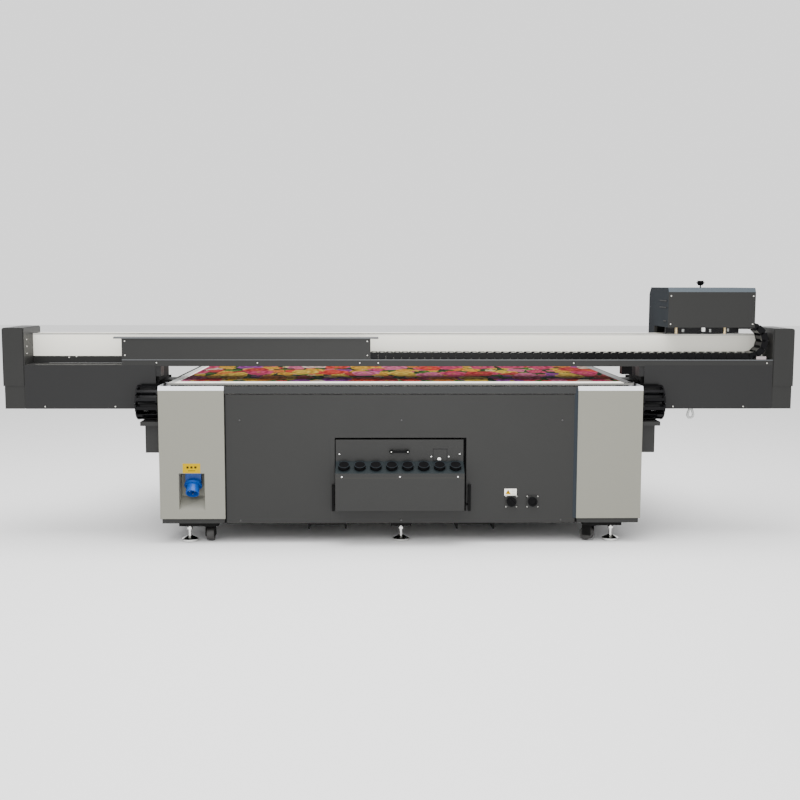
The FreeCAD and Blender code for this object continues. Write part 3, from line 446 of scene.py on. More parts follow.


# %% Coats with bands
# Above the bevel level the light covers are painted much paler: a painted highlight on their top bevel.
tint(light_coat, lambda x, y, z: z > BEVEL_HIGHLIGHT_FROM, (0.62, 0.64, 0.66))
RECESS_SHADE_TOP = 0.266
recess_coat = powder_coat("recess_coat", (0.150, 0.150, 0.135), 0.5)
# Above the recess top the recess is painted near black: painted shade under its top edge.
tint(recess_coat, lambda x, y, z: z > RECESS_SHADE_TOP, (0.014, 0.013, 0.011), 0.9)
SEAM_X = -0.400
SEAM_HALF = 0.0012
SEAM_TOP = 0.60
panel_coat = powder_coat("rear_panel_coat", DARK_GREY)
tint(panel_coat, lambda x, y, z: band(x, SEAM_X, SEAM_HALF) * (z < SEAM_TOP), (0.012, 0.012, 0.012))
fascia_coat = powder_coat("fascia_coat", (0.021, 0.0215, 0.0215))
beam_low, beam_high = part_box("gantry_beam")
beam_coat = powder_coat("beam_coat", (0.93, 0.88, 0.77), 0.32, grain=400.0, peel=0.00003, shade=0.04)
LID_LINE = 0.006
LID_LINE_HALF = 0.0016
tint(beam_coat, lambda x, y, z: band(z, beam_high.z - LID_LINE, LID_LINE_HALF) * (y < beam_low.y + 0.01),
     (0.36, 0.36, 0.36))
print("seam at", SEAM_X, "beam line at", round(beam_high.z - LID_LINE, 3))


# %% Table, carriage and ink box coats
table_finish = powder_coat("table_finish", (0.80, 0.78, 0.70), 0.38, grain=500.0, peel=0.00003, shade=0.06)
HOLE_PITCH = 0.025
HOLE_SIZE = 0.006
TICK_PITCH = 0.050
TICK_SHARE = 0.12


def holes(x, y, z):
    """A square grid of suction holes."""
    u = (x * (1 / HOLE_PITCH)).fraction() - 0.5
    v = (y * (1 / HOLE_PITCH)).fraction() - 0.5
    return (u * u + v * v) < HOLE_SIZE


table_low, table_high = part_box("vacuum_table")
SIDE_STRIP = 1.262
RIGHT_STRIP = 1.2465
EDGE_ROUNDING = 0.0012


def ticks(x, y, z):
    """Fine lines across the strips beside the board."""
    return (x.maths("ABSOLUTE", x) > SIDE_STRIP) * ((y * (1 / TICK_PITCH)).fraction() < TICK_SHARE)


tint(table_finish, holes, (0.10, 0.10, 0.09), 0.8)
tint(table_finish, lambda x, y, z: x < -SIDE_STRIP, (0.34, 0.34, 0.32))
tint(table_finish, lambda x, y, z: x > RIGHT_STRIP, (0.022, 0.022, 0.022))
tint(table_finish, ticks, (0.08, 0.08, 0.08), 0.6)
# The table's upright front face, below its rounded top edge, is painted grey: painted shade on that face.
tint(table_finish, lambda x, y, z: (y < table_low.y + 0.002) * (z < table_high.z - EDGE_ROUNDING),
     (0.120, 0.118, 0.110))
carriage_coat = powder_coat("carriage_coat", DARK_GREY)
cover_low, cover_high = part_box("carriage_cover")
# A bluer, duller copy of the cover's paint for its left side: painted shade.
side_coat = powder_coat("carriage_side_shade_coat", (0.0135, 0.0165, 0.0200), 0.70, gloss=0.05)
ROOF_ROUNDING = 0.0245
# The rounded roof of the carriage cover is painted a paler blue grey: a painted highlight.
tint(carriage_coat, lambda x, y, z: z > cover_high.z - ROOF_ROUNDING, (0.050, 0.063, 0.075))
ink_box_coat = powder_coat("ink_box_coat", DARK_GREY)
SHELF_LOW = 0.4142
SHELF_HIGH = 0.4700
FOLD_LEVEL = 0.3893
FOLD_HALF = 0.0012
tint(ink_box_coat, lambda x, y, z: (z > SHELF_LOW) * (z < SHELF_HIGH), (0.0085, 0.0130, 0.0150))
# A paler line along the fold below the shelf: a painted highlight on the bend.
tint(ink_box_coat, lambda x, y, z: band(z, FOLD_LEVEL, FOLD_HALF), (0.032, 0.031, 0.024), 0.8)
print("table from", round(table_low.y, 3), "to", round(table_high.y, 3), "shelf from", SHELF_LOW)


# %% [markdown]
# ## The printed board
# The board on the table carries a printed flower pattern. A cell texture gives each flower a
# place and a colour. The angle round its middle gives it petals, and the distance darkens it
# inwards. Smaller flowers and green leaves fill the space between.

# %% Flower print
def flower_layer(wire, point, scale, size, petals, below, colours, seed):
    """Flowers over what is below; returns the mixed colour."""
    shifted = wire.add("ShaderNodeMapping", None, {"Vector": point, "Location": (seed, seed * 0.7, 0)})
    cell = {"Vector": shifted, "Scale": scale, "Randomness": 0.80}
    settings = {"voronoi_dimensions": "2D"}
    middle = wire.add("ShaderNodeTexVoronoi", settings, cell, "Position")
    random = wire.add("ShaderNodeTexVoronoi", settings, cell, "Color")
    chance = split(wire, random)
    away = wire.add("ShaderNodeVectorMath", {"operation": "SUBTRACT"}, {0: shifted, 1: middle})
    dx, dy, _ = split(wire, away)
    distance = dx.maths("SQRT", dx * dx + dy * dy)
    angle = dx.maths("ARCTAN2", dy, dx)
    ruffle = noise(wire, point, 30.0, 3.0)
    wave = angle.maths("COSINE", angle * petals + chance[1] * 6.0 + ruffle * 3.0)
    reach = (wave * 0.12 + 0.88 + (ruffle - 0.5) * 0.5) * size
    depth = distance.maths("DIVIDE", distance, reach)
    petal = wire.add("ShaderNodeValToRGB", {"stops": colours}, {"Fac": chance[0]})
    petal.socket.node.color_ramp.interpolation = "CONSTANT"
    folds = wave.maths("SINE", depth * 11.0 + wave * 1.6 + ruffle * 7.0) * 0.5 + 0.5
    dark_fold = mix_colour(wire, 1.0, petal, (0.30, 0.14, 0.14), "MULTIPLY")
    bright_fold = mix_colour(wire, 0.10, petal, (1.0, 0.92, 0.90))
    shaded = mix_colour(wire, folds, dark_fold, bright_fold)
    shaded = mix_colour(wire, 0.35, shaded, petal)
    shaded = mix_colour(wire, (depth < 0.16) * chance[2], shaded, (0.55, 0.34, 0.0))
    return mix_colour(wire, depth < 1.0, below, shaded)


VIVID = ((0.0, (0.62, 0.0, 0.004)), (0.15, (0.75, 0.02, 0.16)), (0.30, (0.95, 0.50, 0.0)),
         (0.42, (0.85, 0.16, 0.36)), (0.56, (0.90, 0.03, 0.0)), (0.68, (0.95, 0.66, 0.04)),
         (0.78, (0.36, 0.02, 0.40)), (0.88, (0.92, 0.26, 0.0)), (0.95, (0.90, 0.70, 0.60)))
SMALLS = ((0.0, (0.95, 0.62, 0.02)), (0.25, (0.80, 0.02, 0.02)), (0.5, (0.50, 0.03, 0.45)),
          (0.7, (0.90, 0.12, 0.22)), (0.85, (0.95, 0.80, 0.40)))

print_finish, print_shader, print_wire = new_finish("flower_print", 0.85)
print_shader.inputs["Specular IOR Level"].default_value = 0.03
flat_point = object_point(print_wire)
print_point = print_wire.add("ShaderNodeMapping", None, {"Vector": flat_point, "Scale": (1.0, 0.48, 1.0)})
leaf_noise = noise(print_wire, print_point, 17.0, 4.0, 0.65)
leaves = print_wire.add("ShaderNodeValToRGB",
                        {"stops": ((0.34, (0.001, 0.004, 0.001)), (0.47, (0.004, 0.035, 0.003)),
                                   (0.56, (0.025, 0.13, 0.008)), (0.66, (0.16, 0.30, 0.03)),
                                   (0.78, (0.50, 0.58, 0.25)))}, {"Fac": leaf_noise})
layers = flower_layer(print_wire, print_point, 10.0, 0.036, 5.0, leaves, SMALLS, 3.1)
layers = flower_layer(print_wire, print_point, 7.0, 0.066, 4.0, layers, VIVID, 11.3)
layers = flower_layer(print_wire, print_point, 5.0, 0.092, 3.0, layers, VIVID, 7.7)
layers = mix_colour(print_wire, 1.0, layers, (0.26, 0.26, 0.26), "MULTIPLY")
paper_gloss = noise(print_wire, print_point, 60.0) * 0.2 + 0.75
surface(print_wire, print_shader, layers, paper_gloss, leaf_noise, 0.0001)
print("flower print ready")


# %% [markdown]
# ## Which finish goes where
# Covers are light grey, panels dark grey, the beam and the table cream. Screws, tanks and boards
# inside a part are picked out by size or height.

# %% Parts with one finish
def is_top_strip(low, high):
    """The strip along a panel's top edge."""
    return low.z > 0.845


PLAIN = ((dark_coat, ("side_panels", "y_chain_trays", "end_caps", "centre_cover", "x_chain_tray")),
         (light_coat, ("rear_right_cover", "front_covers")),
         (wing_coat, ("left_wing_cover", "right_wing_cover")),
         (black_coat, ("base_frame", "under_brackets", "ink_box_hinges")), (table_finish, ("vacuum_table",)),
         (print_finish, ("printed_board",)), (ground, ("y_guideway", "y_travel_blocks")),
         (enamel, ("vacuum_blower", "electrics_box")), (dark_screw, ("panel_screws",)),
         (ink_box_coat, ("ink_box",)), (tank_plastic, ("ink_tanks",)), (plated, ("latch_knob",)),
         (black_plastic, ("ink_box_handle", "switch_knob", "cover_knob")), (stop_red, ("stop_button",)),
         (hose_clear, ("drain_hose",)), (zinc, ("cap_station",)), (head_plate, ("print_heads",)),
         (carriage_coat, ("carriage_cover",)))
for finish, names in PLAIN:
    for name in names:
        dress(name, finish)
for number in range(1, 9):
    dress("ink_cap_" + str(number), black_plastic)
for corner in ("rear_left", "rear_right", "front_left", "front_right"):
    dress("caster_fork_" + corner, black_coat)
    dress("caster_wheel_" + corner, rubber)
print("plain parts:", sum(len(names) for _, names in PLAIN))


# %% Parts with more than one finish
dress("rear_panel", panel_coat, (fascia_coat, is_top_strip))
dress("front_panel", dark_coat, (fascia_coat, is_top_strip))
dress("rear_left_cover", light_coat, (recess_coat, lambda low, high: high.z < 0.45))
dress("feet", plated, (black_plastic, lambda low, high: high.z < 0.03))
dress("power_inlet", inlet_blue, (plated, tiny), (plated, lambda low, high: high.x - low.x < 0.012),
      (inlet_grey, lambda low, high: low.z > 0.29))
dress("control_bases", black_plastic, (dark_coat, lambda low, high: low.z < 0.25 and high.x - low.x > 0.06),
      (stop_yellow, lambda low, high: low.y > 0.8))
dress("gantry_beam", beam_coat, (ground, lambda low, high: high.z - low.z < 0.03))
dress("gantry_frame", black_coat, (zinc, tiny), (dark_coat, lambda low, high: abs(low.x) > 2.1),
      (black_plastic, lambda low, high: 1.25 < low.x < 1.28))
dress("carriage_frame", black_coat, (brass, lambda low, high: high.x - low.x < 0.017),
      (white_plastic, lambda low, high: high.x - low.x < 0.019),
      (zinc, lambda low, high: high.z - low.z < 0.01))
# The faces turned to the left take the bluer, duller copy: painted shade on that side.
repaint(nodes["carriage_cover"], side_coat, lambda centre, normal: normal.x < -0.9)
print("dressed:", sum(1 for thing in nodes.values() if thing.data.materials))


# %% [markdown]
# ## Energy chains
# A chain is one link repeated along a path. The link has two rounded side plates and two cross
# bars. A Geometry Nodes tree turns the path into points, puts a link on each one, turns it
# along the path, and sets the finish.

# %% Solids from outlines
def close_mesh(name, mesh):
    """Turns every face outwards and returns the mesh data."""
    bmesh.ops.recalc_face_normals(mesh, faces=mesh.faces)
    data = bpy.data.meshes.new(name)
    mesh.to_mesh(data)
    mesh.free()
    return data


def prism(outline, low, high):
    """A closed solid: an outline in x and z, drawn out from y = low to y = high."""
    mesh = bmesh.new()
    near = [mesh.verts.new((x, low, z)) for x, z in outline]
    far = [mesh.verts.new((x, high, z)) for x, z in outline]
    count = len(outline)
    mesh.faces.new(near)
    mesh.faces.new(list(reversed(far)))
    for index in range(count):
        after = (index + 1) % count
        mesh.faces.new((near[after], near[index], far[index], far[after]))
    return close_mesh("prism", mesh)


def join_meshes(name, meshes):
    """Several meshes as one, keeping them closed."""
    whole = bmesh.new()
    for data in meshes:
        whole.from_mesh(data)
    data = bpy.data.meshes.new(name)
    whole.to_mesh(data)
    whole.free()
    return data


def block(low, high):
    """A closed box between two corners."""
    outline = ((low[0], low[2]), (high[0], low[2]), (high[0], high[2]), (low[0], high[2]))
    return prism(outline, low[1], high[1])


sample = block((0, 0, 0), (1, 1, 1))
print("block faces:", len(sample.polygons))
bpy.data.meshes.remove(sample)


# %% The link
LINK_PLATE = 0.008


def chain_link(name, pitch, height, width):
    """One link along x, centred on its own origin."""
    half = height / 2
    reach = pitch * 0.5
    ear = half * 0.62
    outline = [(-reach + 0.001, -half + 0.003), (-reach * 0.72, -half), (reach * 0.72, -half),
               (reach - 0.001, -half + 0.003), (reach, ear * 0.9), (reach * 0.86, half * 0.88),
               (reach * 0.55, half), (-reach * 0.55, half), (-reach * 0.86, half * 0.88), (-reach, ear * 0.9)]
    bar = pitch * 0.20
    inside = width / 2 - LINK_PLATE
    meshes = [prism(outline, -width / 2, -inside), prism(outline, inside, width / 2)]
    for level in (-half + 0.001, half - 0.006):
        meshes.append(block((-bar, -inside, level), (bar, inside, level + 0.005)))
    thing = bpy.data.objects.new(name, join_meshes(name, meshes))
    scene.collection.objects.link(thing)
    return thing


print("link faces:", len(chain_link("test_link", 0.0445, 0.037, 0.115).data.polygons))
bpy.data.objects.remove(bpy.data.objects["test_link"])


# %% Growing a tree
def nodes_tree(name, sockets):
    """An empty Geometry Nodes tree with a geometry input and the named inputs."""
    tree = bpy.data.node_groups.new(name, "GeometryNodeTree")
    tree.interface.new_socket("Geometry", in_out="INPUT", socket_type="NodeSocketGeometry")
    for label, kind in sockets:
        tree.interface.new_socket(label, in_out="INPUT", socket_type=kind)
    tree.interface.new_socket("Geometry", in_out="OUTPUT", socket_type="NodeSocketGeometry")
    return tree, tree.nodes.new("NodeGroupInput"), tree.nodes.new("NodeGroupOutput")


def grow(tree, kind, settings=None, inputs=None):
    """Adds a node; an input is a value or another node's output socket."""
    node = tree.nodes.new(kind)
    for name, value in (settings or {}).items():
        setattr(node, name, value)
    for name, value in (inputs or {}).items():
        if isinstance(value, bpy.types.NodeSocket):
            tree.links.new(value, node.inputs[name])
        else:
            node.inputs[name].default_value = value
    return node


def finish_tree(tree, start, end, geometry):
    """Ends a tree: real geometry with the finish set on it."""
    real = grow(tree, "GeometryNodeRealizeInstances", None, {"Geometry": geometry})
    done = grow(tree, "GeometryNodeSetMaterial", None,
                {"Geometry": real.outputs["Geometry"], "Material": start.outputs["Finish"]})
    tree.links.new(done.outputs["Geometry"], end.inputs["Geometry"])
    return tree


def copies_tree(tree, start, end, points, rotation):
    """Ends a tree with a copy of the named object on each point."""
    copy = grow(tree, "GeometryNodeObjectInfo", {"transform_space": "ORIGINAL"},
                {"Object": start.outputs["Copy"]})
    placed = grow(tree, "GeometryNodeInstanceOnPoints", None,
                  {"Points": points, "Instance": copy.outputs["Geometry"], "Rotation": rotation})
    return finish_tree(tree, start, end, placed.outputs["Instances"])


print("tree helpers ready")


# %% The chain tree
def along_path_tree():
    """Copies of an object at even steps along a path."""
    kinds = (("Copy", "NodeSocketObject"), ("Count", "NodeSocketInt"), ("Across", "NodeSocketVector"),
             ("Finish", "NodeSocketMaterial"))
    tree, start, end = nodes_tree("copies_along_path", kinds)
    curve = grow(tree, "GeometryNodeMeshToCurve", None, {"Mesh": start.outputs["Geometry"]})
    points = grow(tree, "GeometryNodeCurveToPoints", {"mode": "COUNT"},
                  {"Curve": curve.outputs["Curve"], "Count": start.outputs["Count"]})
    across = grow(tree, "FunctionNodeAlignRotationToVector", {"axis": "Y"},
                  {"Vector": start.outputs["Across"]})
    turn = grow(tree, "FunctionNodeAlignRotationToVector", {"axis": "X", "pivot_axis": "Y"},
                {"Rotation": across.outputs["Rotation"], "Vector": points.outputs["Tangent"]})
    return copies_tree(tree, start, end, points.outputs["Points"], turn.outputs["Rotation"])


copies = along_path_tree()
print("tree nodes:", len(copies.nodes))


# %% Running a tree
def run_tree(name, tree, mesh, values):
    """Runs a tree over a mesh and returns the result as a plain piece."""
    carrier = bpy.data.objects.new(name + "_path", mesh)
    scene.collection.objects.link(carrier)
    modifier = carrier.modifiers.new("tree", "NODES")
    modifier.node_group = tree
    for item in tree.interface.items_tree:
        if item.in_out == "INPUT" and item.name in values:
            modifier[item.identifier] = values[item.name]
    ready = carrier.evaluated_get(bpy.context.evaluated_depsgraph_get())
    piece = bpy.data.objects.new(name, bpy.data.meshes.new_from_object(ready))
    scene.collection.objects.link(piece)
    bpy.data.objects.remove(carrier)
    return piece


def path_mesh(points):
    """A line of edges through the points."""
    mesh = bpy.data.meshes.new("path")
    mesh.from_pydata(points, [(i, i + 1) for i in range(len(points) - 1)], [])
    return mesh


inputs = [item.name for item in copies.interface.items_tree if item.in_out == "INPUT"]
print("values of the path tree:", inputs[1:])


# %% Straight runs and bends
ACROSS_Y = (0.0, 1.0, 0.0)
ACROSS_X = (1.0, 0.0, 0.0)


def chain(name, points, count, pitch, section, overlap=1.0):
    """A piece of energy chain: count links along the points; section is (height, width, across)."""
    height, width, across = section
    link = chain_link("link", pitch * overlap, height, width)
    piece = run_tree(name, copies, path_mesh(points),
                     {"Copy": link, "Count": count, "Across": across, "Finish": chain_black})
    bpy.data.objects.remove(link)
    return piece


def arc(middle, radius, first, last, axis):
    """Points round an arc; axis 0 turns in x and z, axis 1 in y and z. Angles in degrees."""
    points = []
    for step in range(61):
        angle = math.radians(first + (last - first) * step / 60)
        place = list(middle)
        place[axis] += math.cos(angle) * radius
        place[2] += math.sin(angle) * radius
        points.append(place)
    return points


run_low, run_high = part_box("x_chain_run")
X_LINKS = 48
HIDDEN_LINKS = 2
CROSS_BEND_TRAVEL = 1.7
SIDE_BEND_TRAVEL = 0.56
BEND_LINKS = 6
SIDES = ((-1, "left"), (1, "right"))
x_pitch = (run_high.x - run_low.x) / X_LINKS
run_low.x -= x_pitch * HIDDEN_LINKS
run_y = (run_low.y + run_high.y) / 2
run_z = (run_low.z + run_high.z) / 2
run_height = run_high.z - run_low.z
cross_section = (run_height, run_high.y - run_low.y, ACROSS_Y)
run_ends = [(x, run_y, run_z) for x in (run_low.x + x_pitch / 2, run_high.x - x_pitch / 2)]
x_run = chain("cross_chain_run", run_ends, X_LINKS + HIDDEN_LINKS, x_pitch, cross_section)
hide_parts("x_chain_run")
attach(x_run, "gantry")
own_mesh(x_run)
print("cross chain:", len(x_run.data.polygons), "faces, pitch", round(x_pitch, 4))

bend_low, bend_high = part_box("x_chain_bend")
bend_radius = (bend_high.z - bend_low.z - run_height) / 2
bend_middle = (run_high.x, run_y, (bend_low.z + bend_high.z) / 2)
x_bend = chain("cross_chain_bend", arc(bend_middle, bend_radius, -76, 76, 0), BEND_LINKS, x_pitch,
               cross_section, overlap=1.16)
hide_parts("x_chain_bend")
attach(x_bend, "cross_chain_bend")
print("bend radius", round(bend_radius, 4), "middle", [round(value, 3) for value in bend_middle])


# %% Side chains
side_low, side_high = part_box("y_chain_runs")
Y_LINKS = 33
SIDE_REACH = (1.365, 1.490)
side_middle = sum(SIDE_REACH) / 2
side_height = side_high.z - side_low.z
side_section = (side_height, SIDE_REACH[1] - SIDE_REACH[0], ACROSS_X)
y_pitch = (side_high.y - side_low.y) / Y_LINKS
side_z = (side_low.z + side_high.z) / 2
coil_low, coil_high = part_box("y_chain_bends")
side_radius = (coil_high.z - coil_low.z - side_height) / 2
for side, word in SIDES:
    ends = [(side * side_middle, y, side_z) for y in (side_low.y + y_pitch / 2, side_high.y - y_pitch / 2)]
    run = chain("side_chain_run_" + word, ends, Y_LINKS, y_pitch, side_section)
    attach(run, "base")
    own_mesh(run)
    coil_middle = (side * side_middle, side_low.y, (coil_low.z + coil_high.z) / 2)
    coil = chain("side_chain_bend_" + word, arc(coil_middle, side_radius, 256, 104, 1), BEND_LINKS,
                 y_pitch, side_section, overlap=1.20)
    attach(coil, "side_chain_bends")
    if side < 0:
        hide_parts("y_chain_runs")
        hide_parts("y_chain_bends")
print("side chains: pitch", round(y_pitch, 4), "bend radius", round(side_radius, 4))


# %% [markdown]
# Each bend rolls at half speed, so an upper run pays out between the bend and what pulls it. Here each
# upper run has links for its whole travel and is packed into a short space, as at rest, along the
# opposite of a curve that eases in and out.

# %% Upper runs
def upper_run(name, axis, start, end, travel, pitch, section):
    """A straight run with links for the travel as well as the space, packed from start to end."""
    way = 1.0 if end[axis] > start[axis] else -1.0
    space = abs(end[axis] - start[axis])
    reach = travel + space
    count = round(reach / pitch)
    step = reach / count
    ends = [list(start), list(start)]
    ends[0][axis] += way * step / 2
    ends[1][axis] += way * (reach - step / 2)
    piece = chain(name, ends, count, step, section)
    for vertex in piece.data.vertices:
        share = min(1.0, max(0.0, (vertex.co[axis] - start[axis]) * way / reach))
        packed = 0.5 - math.sin(math.asin(1 - 2 * share) / 3)
        vertex.co[axis] = start[axis] + way * packed * space
    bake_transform(piece)
    return count


CROSS_ANCHOR = 2.003
CROSS_PACKED_TO = 1.935
SIDE_PACKED = 0.0145
upper_z = bend_high.z - run_height / 2
cross_start = (CROSS_ANCHOR, run_y, upper_z)
cross_end = (CROSS_PACKED_TO, run_y, upper_z)
links = [upper_run("cross_chain_upper_run", 0, cross_start, cross_end, CROSS_BEND_TRAVEL, x_pitch,
                   cross_section)]
side_upper_z = coil_high.z - side_height / 2
for side, word in SIDES:
    near = (side * side_middle, side_low.y, side_upper_z)
    far = (side * side_middle, side_low.y + SIDE_PACKED, side_upper_z)
    links.append(upper_run("side_chain_upper_run_" + word, 1, near, far, SIDE_BEND_TRAVEL, y_pitch,
                           side_section))
print("links in the upper runs:", links)


# %% [markdown]
# ## Screws
# The solid model places every screw. Here each one gets a domed head with a socket, turned from
# a profile. The tree puts a head on each place; one piece is made for each body.

# %% Turned shapes
def ring_of(mesh, radius, height, steps):
    """Points round the z axis, or a single point on it."""
    if radius == 0:
        return [mesh.verts.new((0, 0, height))]
    angles = [2 * math.pi * step / steps for step in range(steps)]
    return [mesh.verts.new((radius * math.cos(a), radius * math.sin(a), height)) for a in angles]


def turned(name, profile, steps=20):
    """A solid turned about z from (radius, height) pairs, from axis to axis or closed into a ring."""
    mesh = bmesh.new()
    rings = [ring_of(mesh, radius, height, steps) for radius, height in profile[:-1]]
    is_ring = profile[0] == profile[-1]
    rings.append(rings[0] if is_ring else ring_of(mesh, *profile[-1], steps))
    for low, high in zip(rings, rings[1:]):
        for step in range(steps):
            after = (step + 1) % steps
            corners = [low[step % len(low)], low[after % len(low)],
                       high[after % len(high)], high[step % len(high)]]
            mesh.faces.new(list(dict.fromkeys(corners)))
    return close_mesh(name, mesh)


HEAD_RADIUS = 0.0042
HEAD_PROFILE = ((0, -0.001), (HEAD_RADIUS, -0.001), (HEAD_RADIUS, 0.0004), (HEAD_RADIUS * 0.8, 0.0016),
                (HEAD_RADIUS * 0.45, 0.0021), (HEAD_RADIUS * 0.40, 0.0006), (0, 0.0006))
print("head faces:", len(turned("head", HEAD_PROFILE).polygons))


# %% Heads on every screw
def on_points_tree():
    """Copies of an object on the points of a mesh, all facing one way."""
    kinds = (("Copy", "NodeSocketObject"), ("Facing", "NodeSocketVector"), ("Finish", "NodeSocketMaterial"))
    tree, start, end = nodes_tree("copies_on_points", kinds)
    turn = grow(tree, "FunctionNodeAlignRotationToVector", {"axis": "Z"}, {"Vector": start.outputs["Facing"]})
    return copies_tree(tree, start, end, start.outputs["Geometry"], turn.outputs["Rotation"])


spots_tree = on_points_tree()
BACKWARDS = (0.0, -1.0, 0.0)


def stud(name, spots, shape, finish, body, facing=BACKWARDS):
    """Puts the turned shape on each spot and lets it ride on the body."""
    sample = bpy.data.objects.new("sample", shape)
    scene.collection.objects.link(sample)
    dots = bpy.data.meshes.new("dots")
    dots.from_pydata(spots, [], [])
    piece = run_tree(name, spots_tree, dots, {"Copy": sample, "Facing": facing, "Finish": finish})
    bpy.data.objects.remove(sample)
    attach(piece, body)
    return piece


def screw_spots(*names):
    """The middle of each small solid's outer face."""
    spots = []
    for name in names:
        for _, low, high in solids_of(nodes[name]):
            if tiny(low, high) and high.y - low.y < 0.004:
                spots.append(((low.x + high.x) / 2, low.y, (low.z + high.z) / 2))
    return spots


head_shape = turned("screw_head", HEAD_PROFILE)
SCREWED = {"gantry": ("left_wing_cover", "right_wing_cover", "centre_cover", "x_chain_tray"),
           "carriage": ("carriage_cover",), "ink_box": ("ink_box",), "base": ("panel_screws",)}
HEAD_FINISH = {"gantry": zinc, "carriage": zinc, "ink_box": white_plastic, "base": dark_screw}
for body, names in SCREWED.items():
    spots = screw_spots(*names)
    stud(body + "_screw_heads", spots, head_shape, HEAD_FINISH[body], body)
    print(body, "screws:", len(spots))


# %% Screws of the switch, the socket and the left end cap
PLATE_CORNERS = ((0.589, 0.655), (0.709, 0.775))
PLATE_LEVELS = (0.204, 0.270)
CORNER_INSET = 0.0035
PLATE_FACE = -0.8268
corner_spots = []
for left, right in PLATE_CORNERS:
    for x in (left + CORNER_INSET, right - CORNER_INSET):
        for z in (PLATE_LEVELS[0] + CORNER_INSET, PLATE_LEVELS[1] - CORNER_INSET):
            corner_spots.append((x, PLATE_FACE, z))
stud("plate_screws", corner_spots, head_shape, zinc, "base")
CAP_FACE = -2.1278
cap_spots = [(CAP_FACE, -0.640, z) for z in (1.060, 1.100, 1.140)]
stud("end_cap_screws", cap_spots, head_shape, zinc, "gantry", (1.0, 0.0, 0.0))
print("corner screws:", len(corner_spots), "end cap screws:", len(cap_spots))


# %% [markdown]
# ## Labels and small parts
# The labels are blank apart from a triangle and plain bars. The folded lips, the louvres and
# the strips between the covers are thin pieces of their own. The lips are painted lighter as a
# highlight, and black strips and a sheet stand for the shadow beside the left cover, inside the
# ink bay and round the latch plate.

# %% Helper for small pieces
def piece_of(name, meshes, finish, body):
    """Joins the meshes into one piece with a finish, riding on the body."""
    thing = bpy.data.objects.new(name, join_meshes(name, meshes))
    thing.data.materials.append(finish)
    scene.collection.objects.link(thing)
    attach(thing, body)
    return thing


def boxes(name, corners, finish, body):
    """One piece made of a box for each pair of corners."""
    return piece_of(name, [block(low, high) for low, high in corners], finish, body)


# %% Labels
def ink(name, colour, paper, mask_of):
    """Printed label stock: paper with marks where mask_of(x, y, z) is 1."""
    material, shader, wire = new_finish(name)
    shader.inputs["Specular IOR Level"].default_value = 0.02
    point = object_point(wire)
    fibre = noise(wire, point, 120.0, 2.0)
    pale = tuple(channel * 0.92 for channel in paper)
    wire.plug(shader.inputs["Base Color"], mix_colour(wire, fibre, pale, paper))
    x, y, z = split(wire, point)
    marked = mix_colour(wire, mask_of(x, y, z), base_colour(wire, shader), colour)
    wire.plug(shader.inputs["Base Color"], marked)
    wire.plug(shader.inputs["Roughness"], fibre * 0.2 + 0.3)
    return material


MARK_HALF = 0.006
MARK_STEP = 0.022
LABEL_LOW = (-1.224, 0.404)
LABEL_HIGH = (-1.126, 0.458)
mid_x = (LABEL_LOW[0] + LABEL_HIGH[0]) / 2


def bars(x, y, z):
    """Three square marks in a row, with a thin line below them."""
    marks = (band(x, mid_x, MARK_HALF) + band(x, mid_x - MARK_STEP, MARK_HALF) +
             band(x, mid_x + MARK_STEP, MARK_HALF))
    return marks * band(z, 0.436, MARK_HALF) + band(z, 0.417, 0.0016) * band(x, mid_x, 0.02)


yellow = ink("yellow_label", (0.01, 0.01, 0.01), (0.42, 0.27, 0.0), bars)
cover_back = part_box("rear_left_cover")[0].y
boxes("supply_label", [((LABEL_LOW[0], cover_back - 0.0004, LABEL_LOW[1]),
                        (LABEL_HIGH[0], cover_back + 0.0004, LABEL_HIGH[1]))], yellow, "base")

SIGN = (0.583, 0.652, 0.270, 0.309)
white_stock = ink("warning_label", (0.45, 0.45, 0.43), (0.86, 0.84, 0.76),
                  lambda x, y, z: band(x, 0.636, 0.011) * ((z * 110.0).fraction() < 0.3))
PANEL_SKIN = -0.8187
boxes("warning_label", [((SIGN[0], PANEL_SKIN - 0.0006, SIGN[2]), (SIGN[1], PANEL_SKIN + 0.0004, SIGN[3]))],
      white_stock, "base")
triangle = ((0.588, SIGN[2] + 0.008), (0.620, SIGN[2] + 0.008), (0.604, SIGN[3] - 0.006))
sign_yellow = ink("sign_yellow", (0.01, 0.01, 0.01), (0.42, 0.24, 0.0),
                  lambda x, y, z: band(x, 0.604, 0.0022) * band(z, SIGN[2] + 0.020, 0.007))
piece_of("warning_sign", [prism(triangle, PANEL_SKIN - 0.0010, PANEL_SKIN)], sign_yellow, "base")
print("labels on planes", round(cover_back, 4), round(PANEL_SKIN, 4))


# %% Folded lips and strips
cover_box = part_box("centre_cover")
LIP_OVER = 0.045
lip_x = (cover_box[0].x - LIP_OVER, cover_box[1].x + LIP_OVER)
top = cover_box[1].z
back = cover_box[0].y
# The lips are painted much lighter than the dark grey covers: a painted highlight along their folded top
# edges.
lip_highlight = powder_coat("lip_highlight_coat", (0.075, 0.078, 0.082), 0.35)
lip_profile = ((-0.0035, -0.006), (-0.0035, 0.0018), (0.0235, 0.0050), (0.0235, 0.0030),
               (-0.0008, 0.0002), (-0.0008, -0.006))


def along_x(outline, low, high):
    """A closed solid: an outline in y and z, drawn out along x."""
    mesh = prism([(-y, z) for y, z in outline], low, high)
    mesh.transform(Matrix.Rotation(math.radians(-90), 4, "Z"))
    return mesh


def placed(mesh, place):
    """The mesh, moved."""
    mesh.transform(Matrix.Translation(place))
    return mesh


lip = placed(along_x(lip_profile, lip_x[0], lip_x[1]), (0, back, top))
low_point = min(v.co.x for v in lip.vertices)
print("lip from", round(low_point, 3), "to", round(max(v.co.x for v in lip.vertices), 3))
piece_of("centre_cover_lip", [lip], lip_highlight, "gantry")

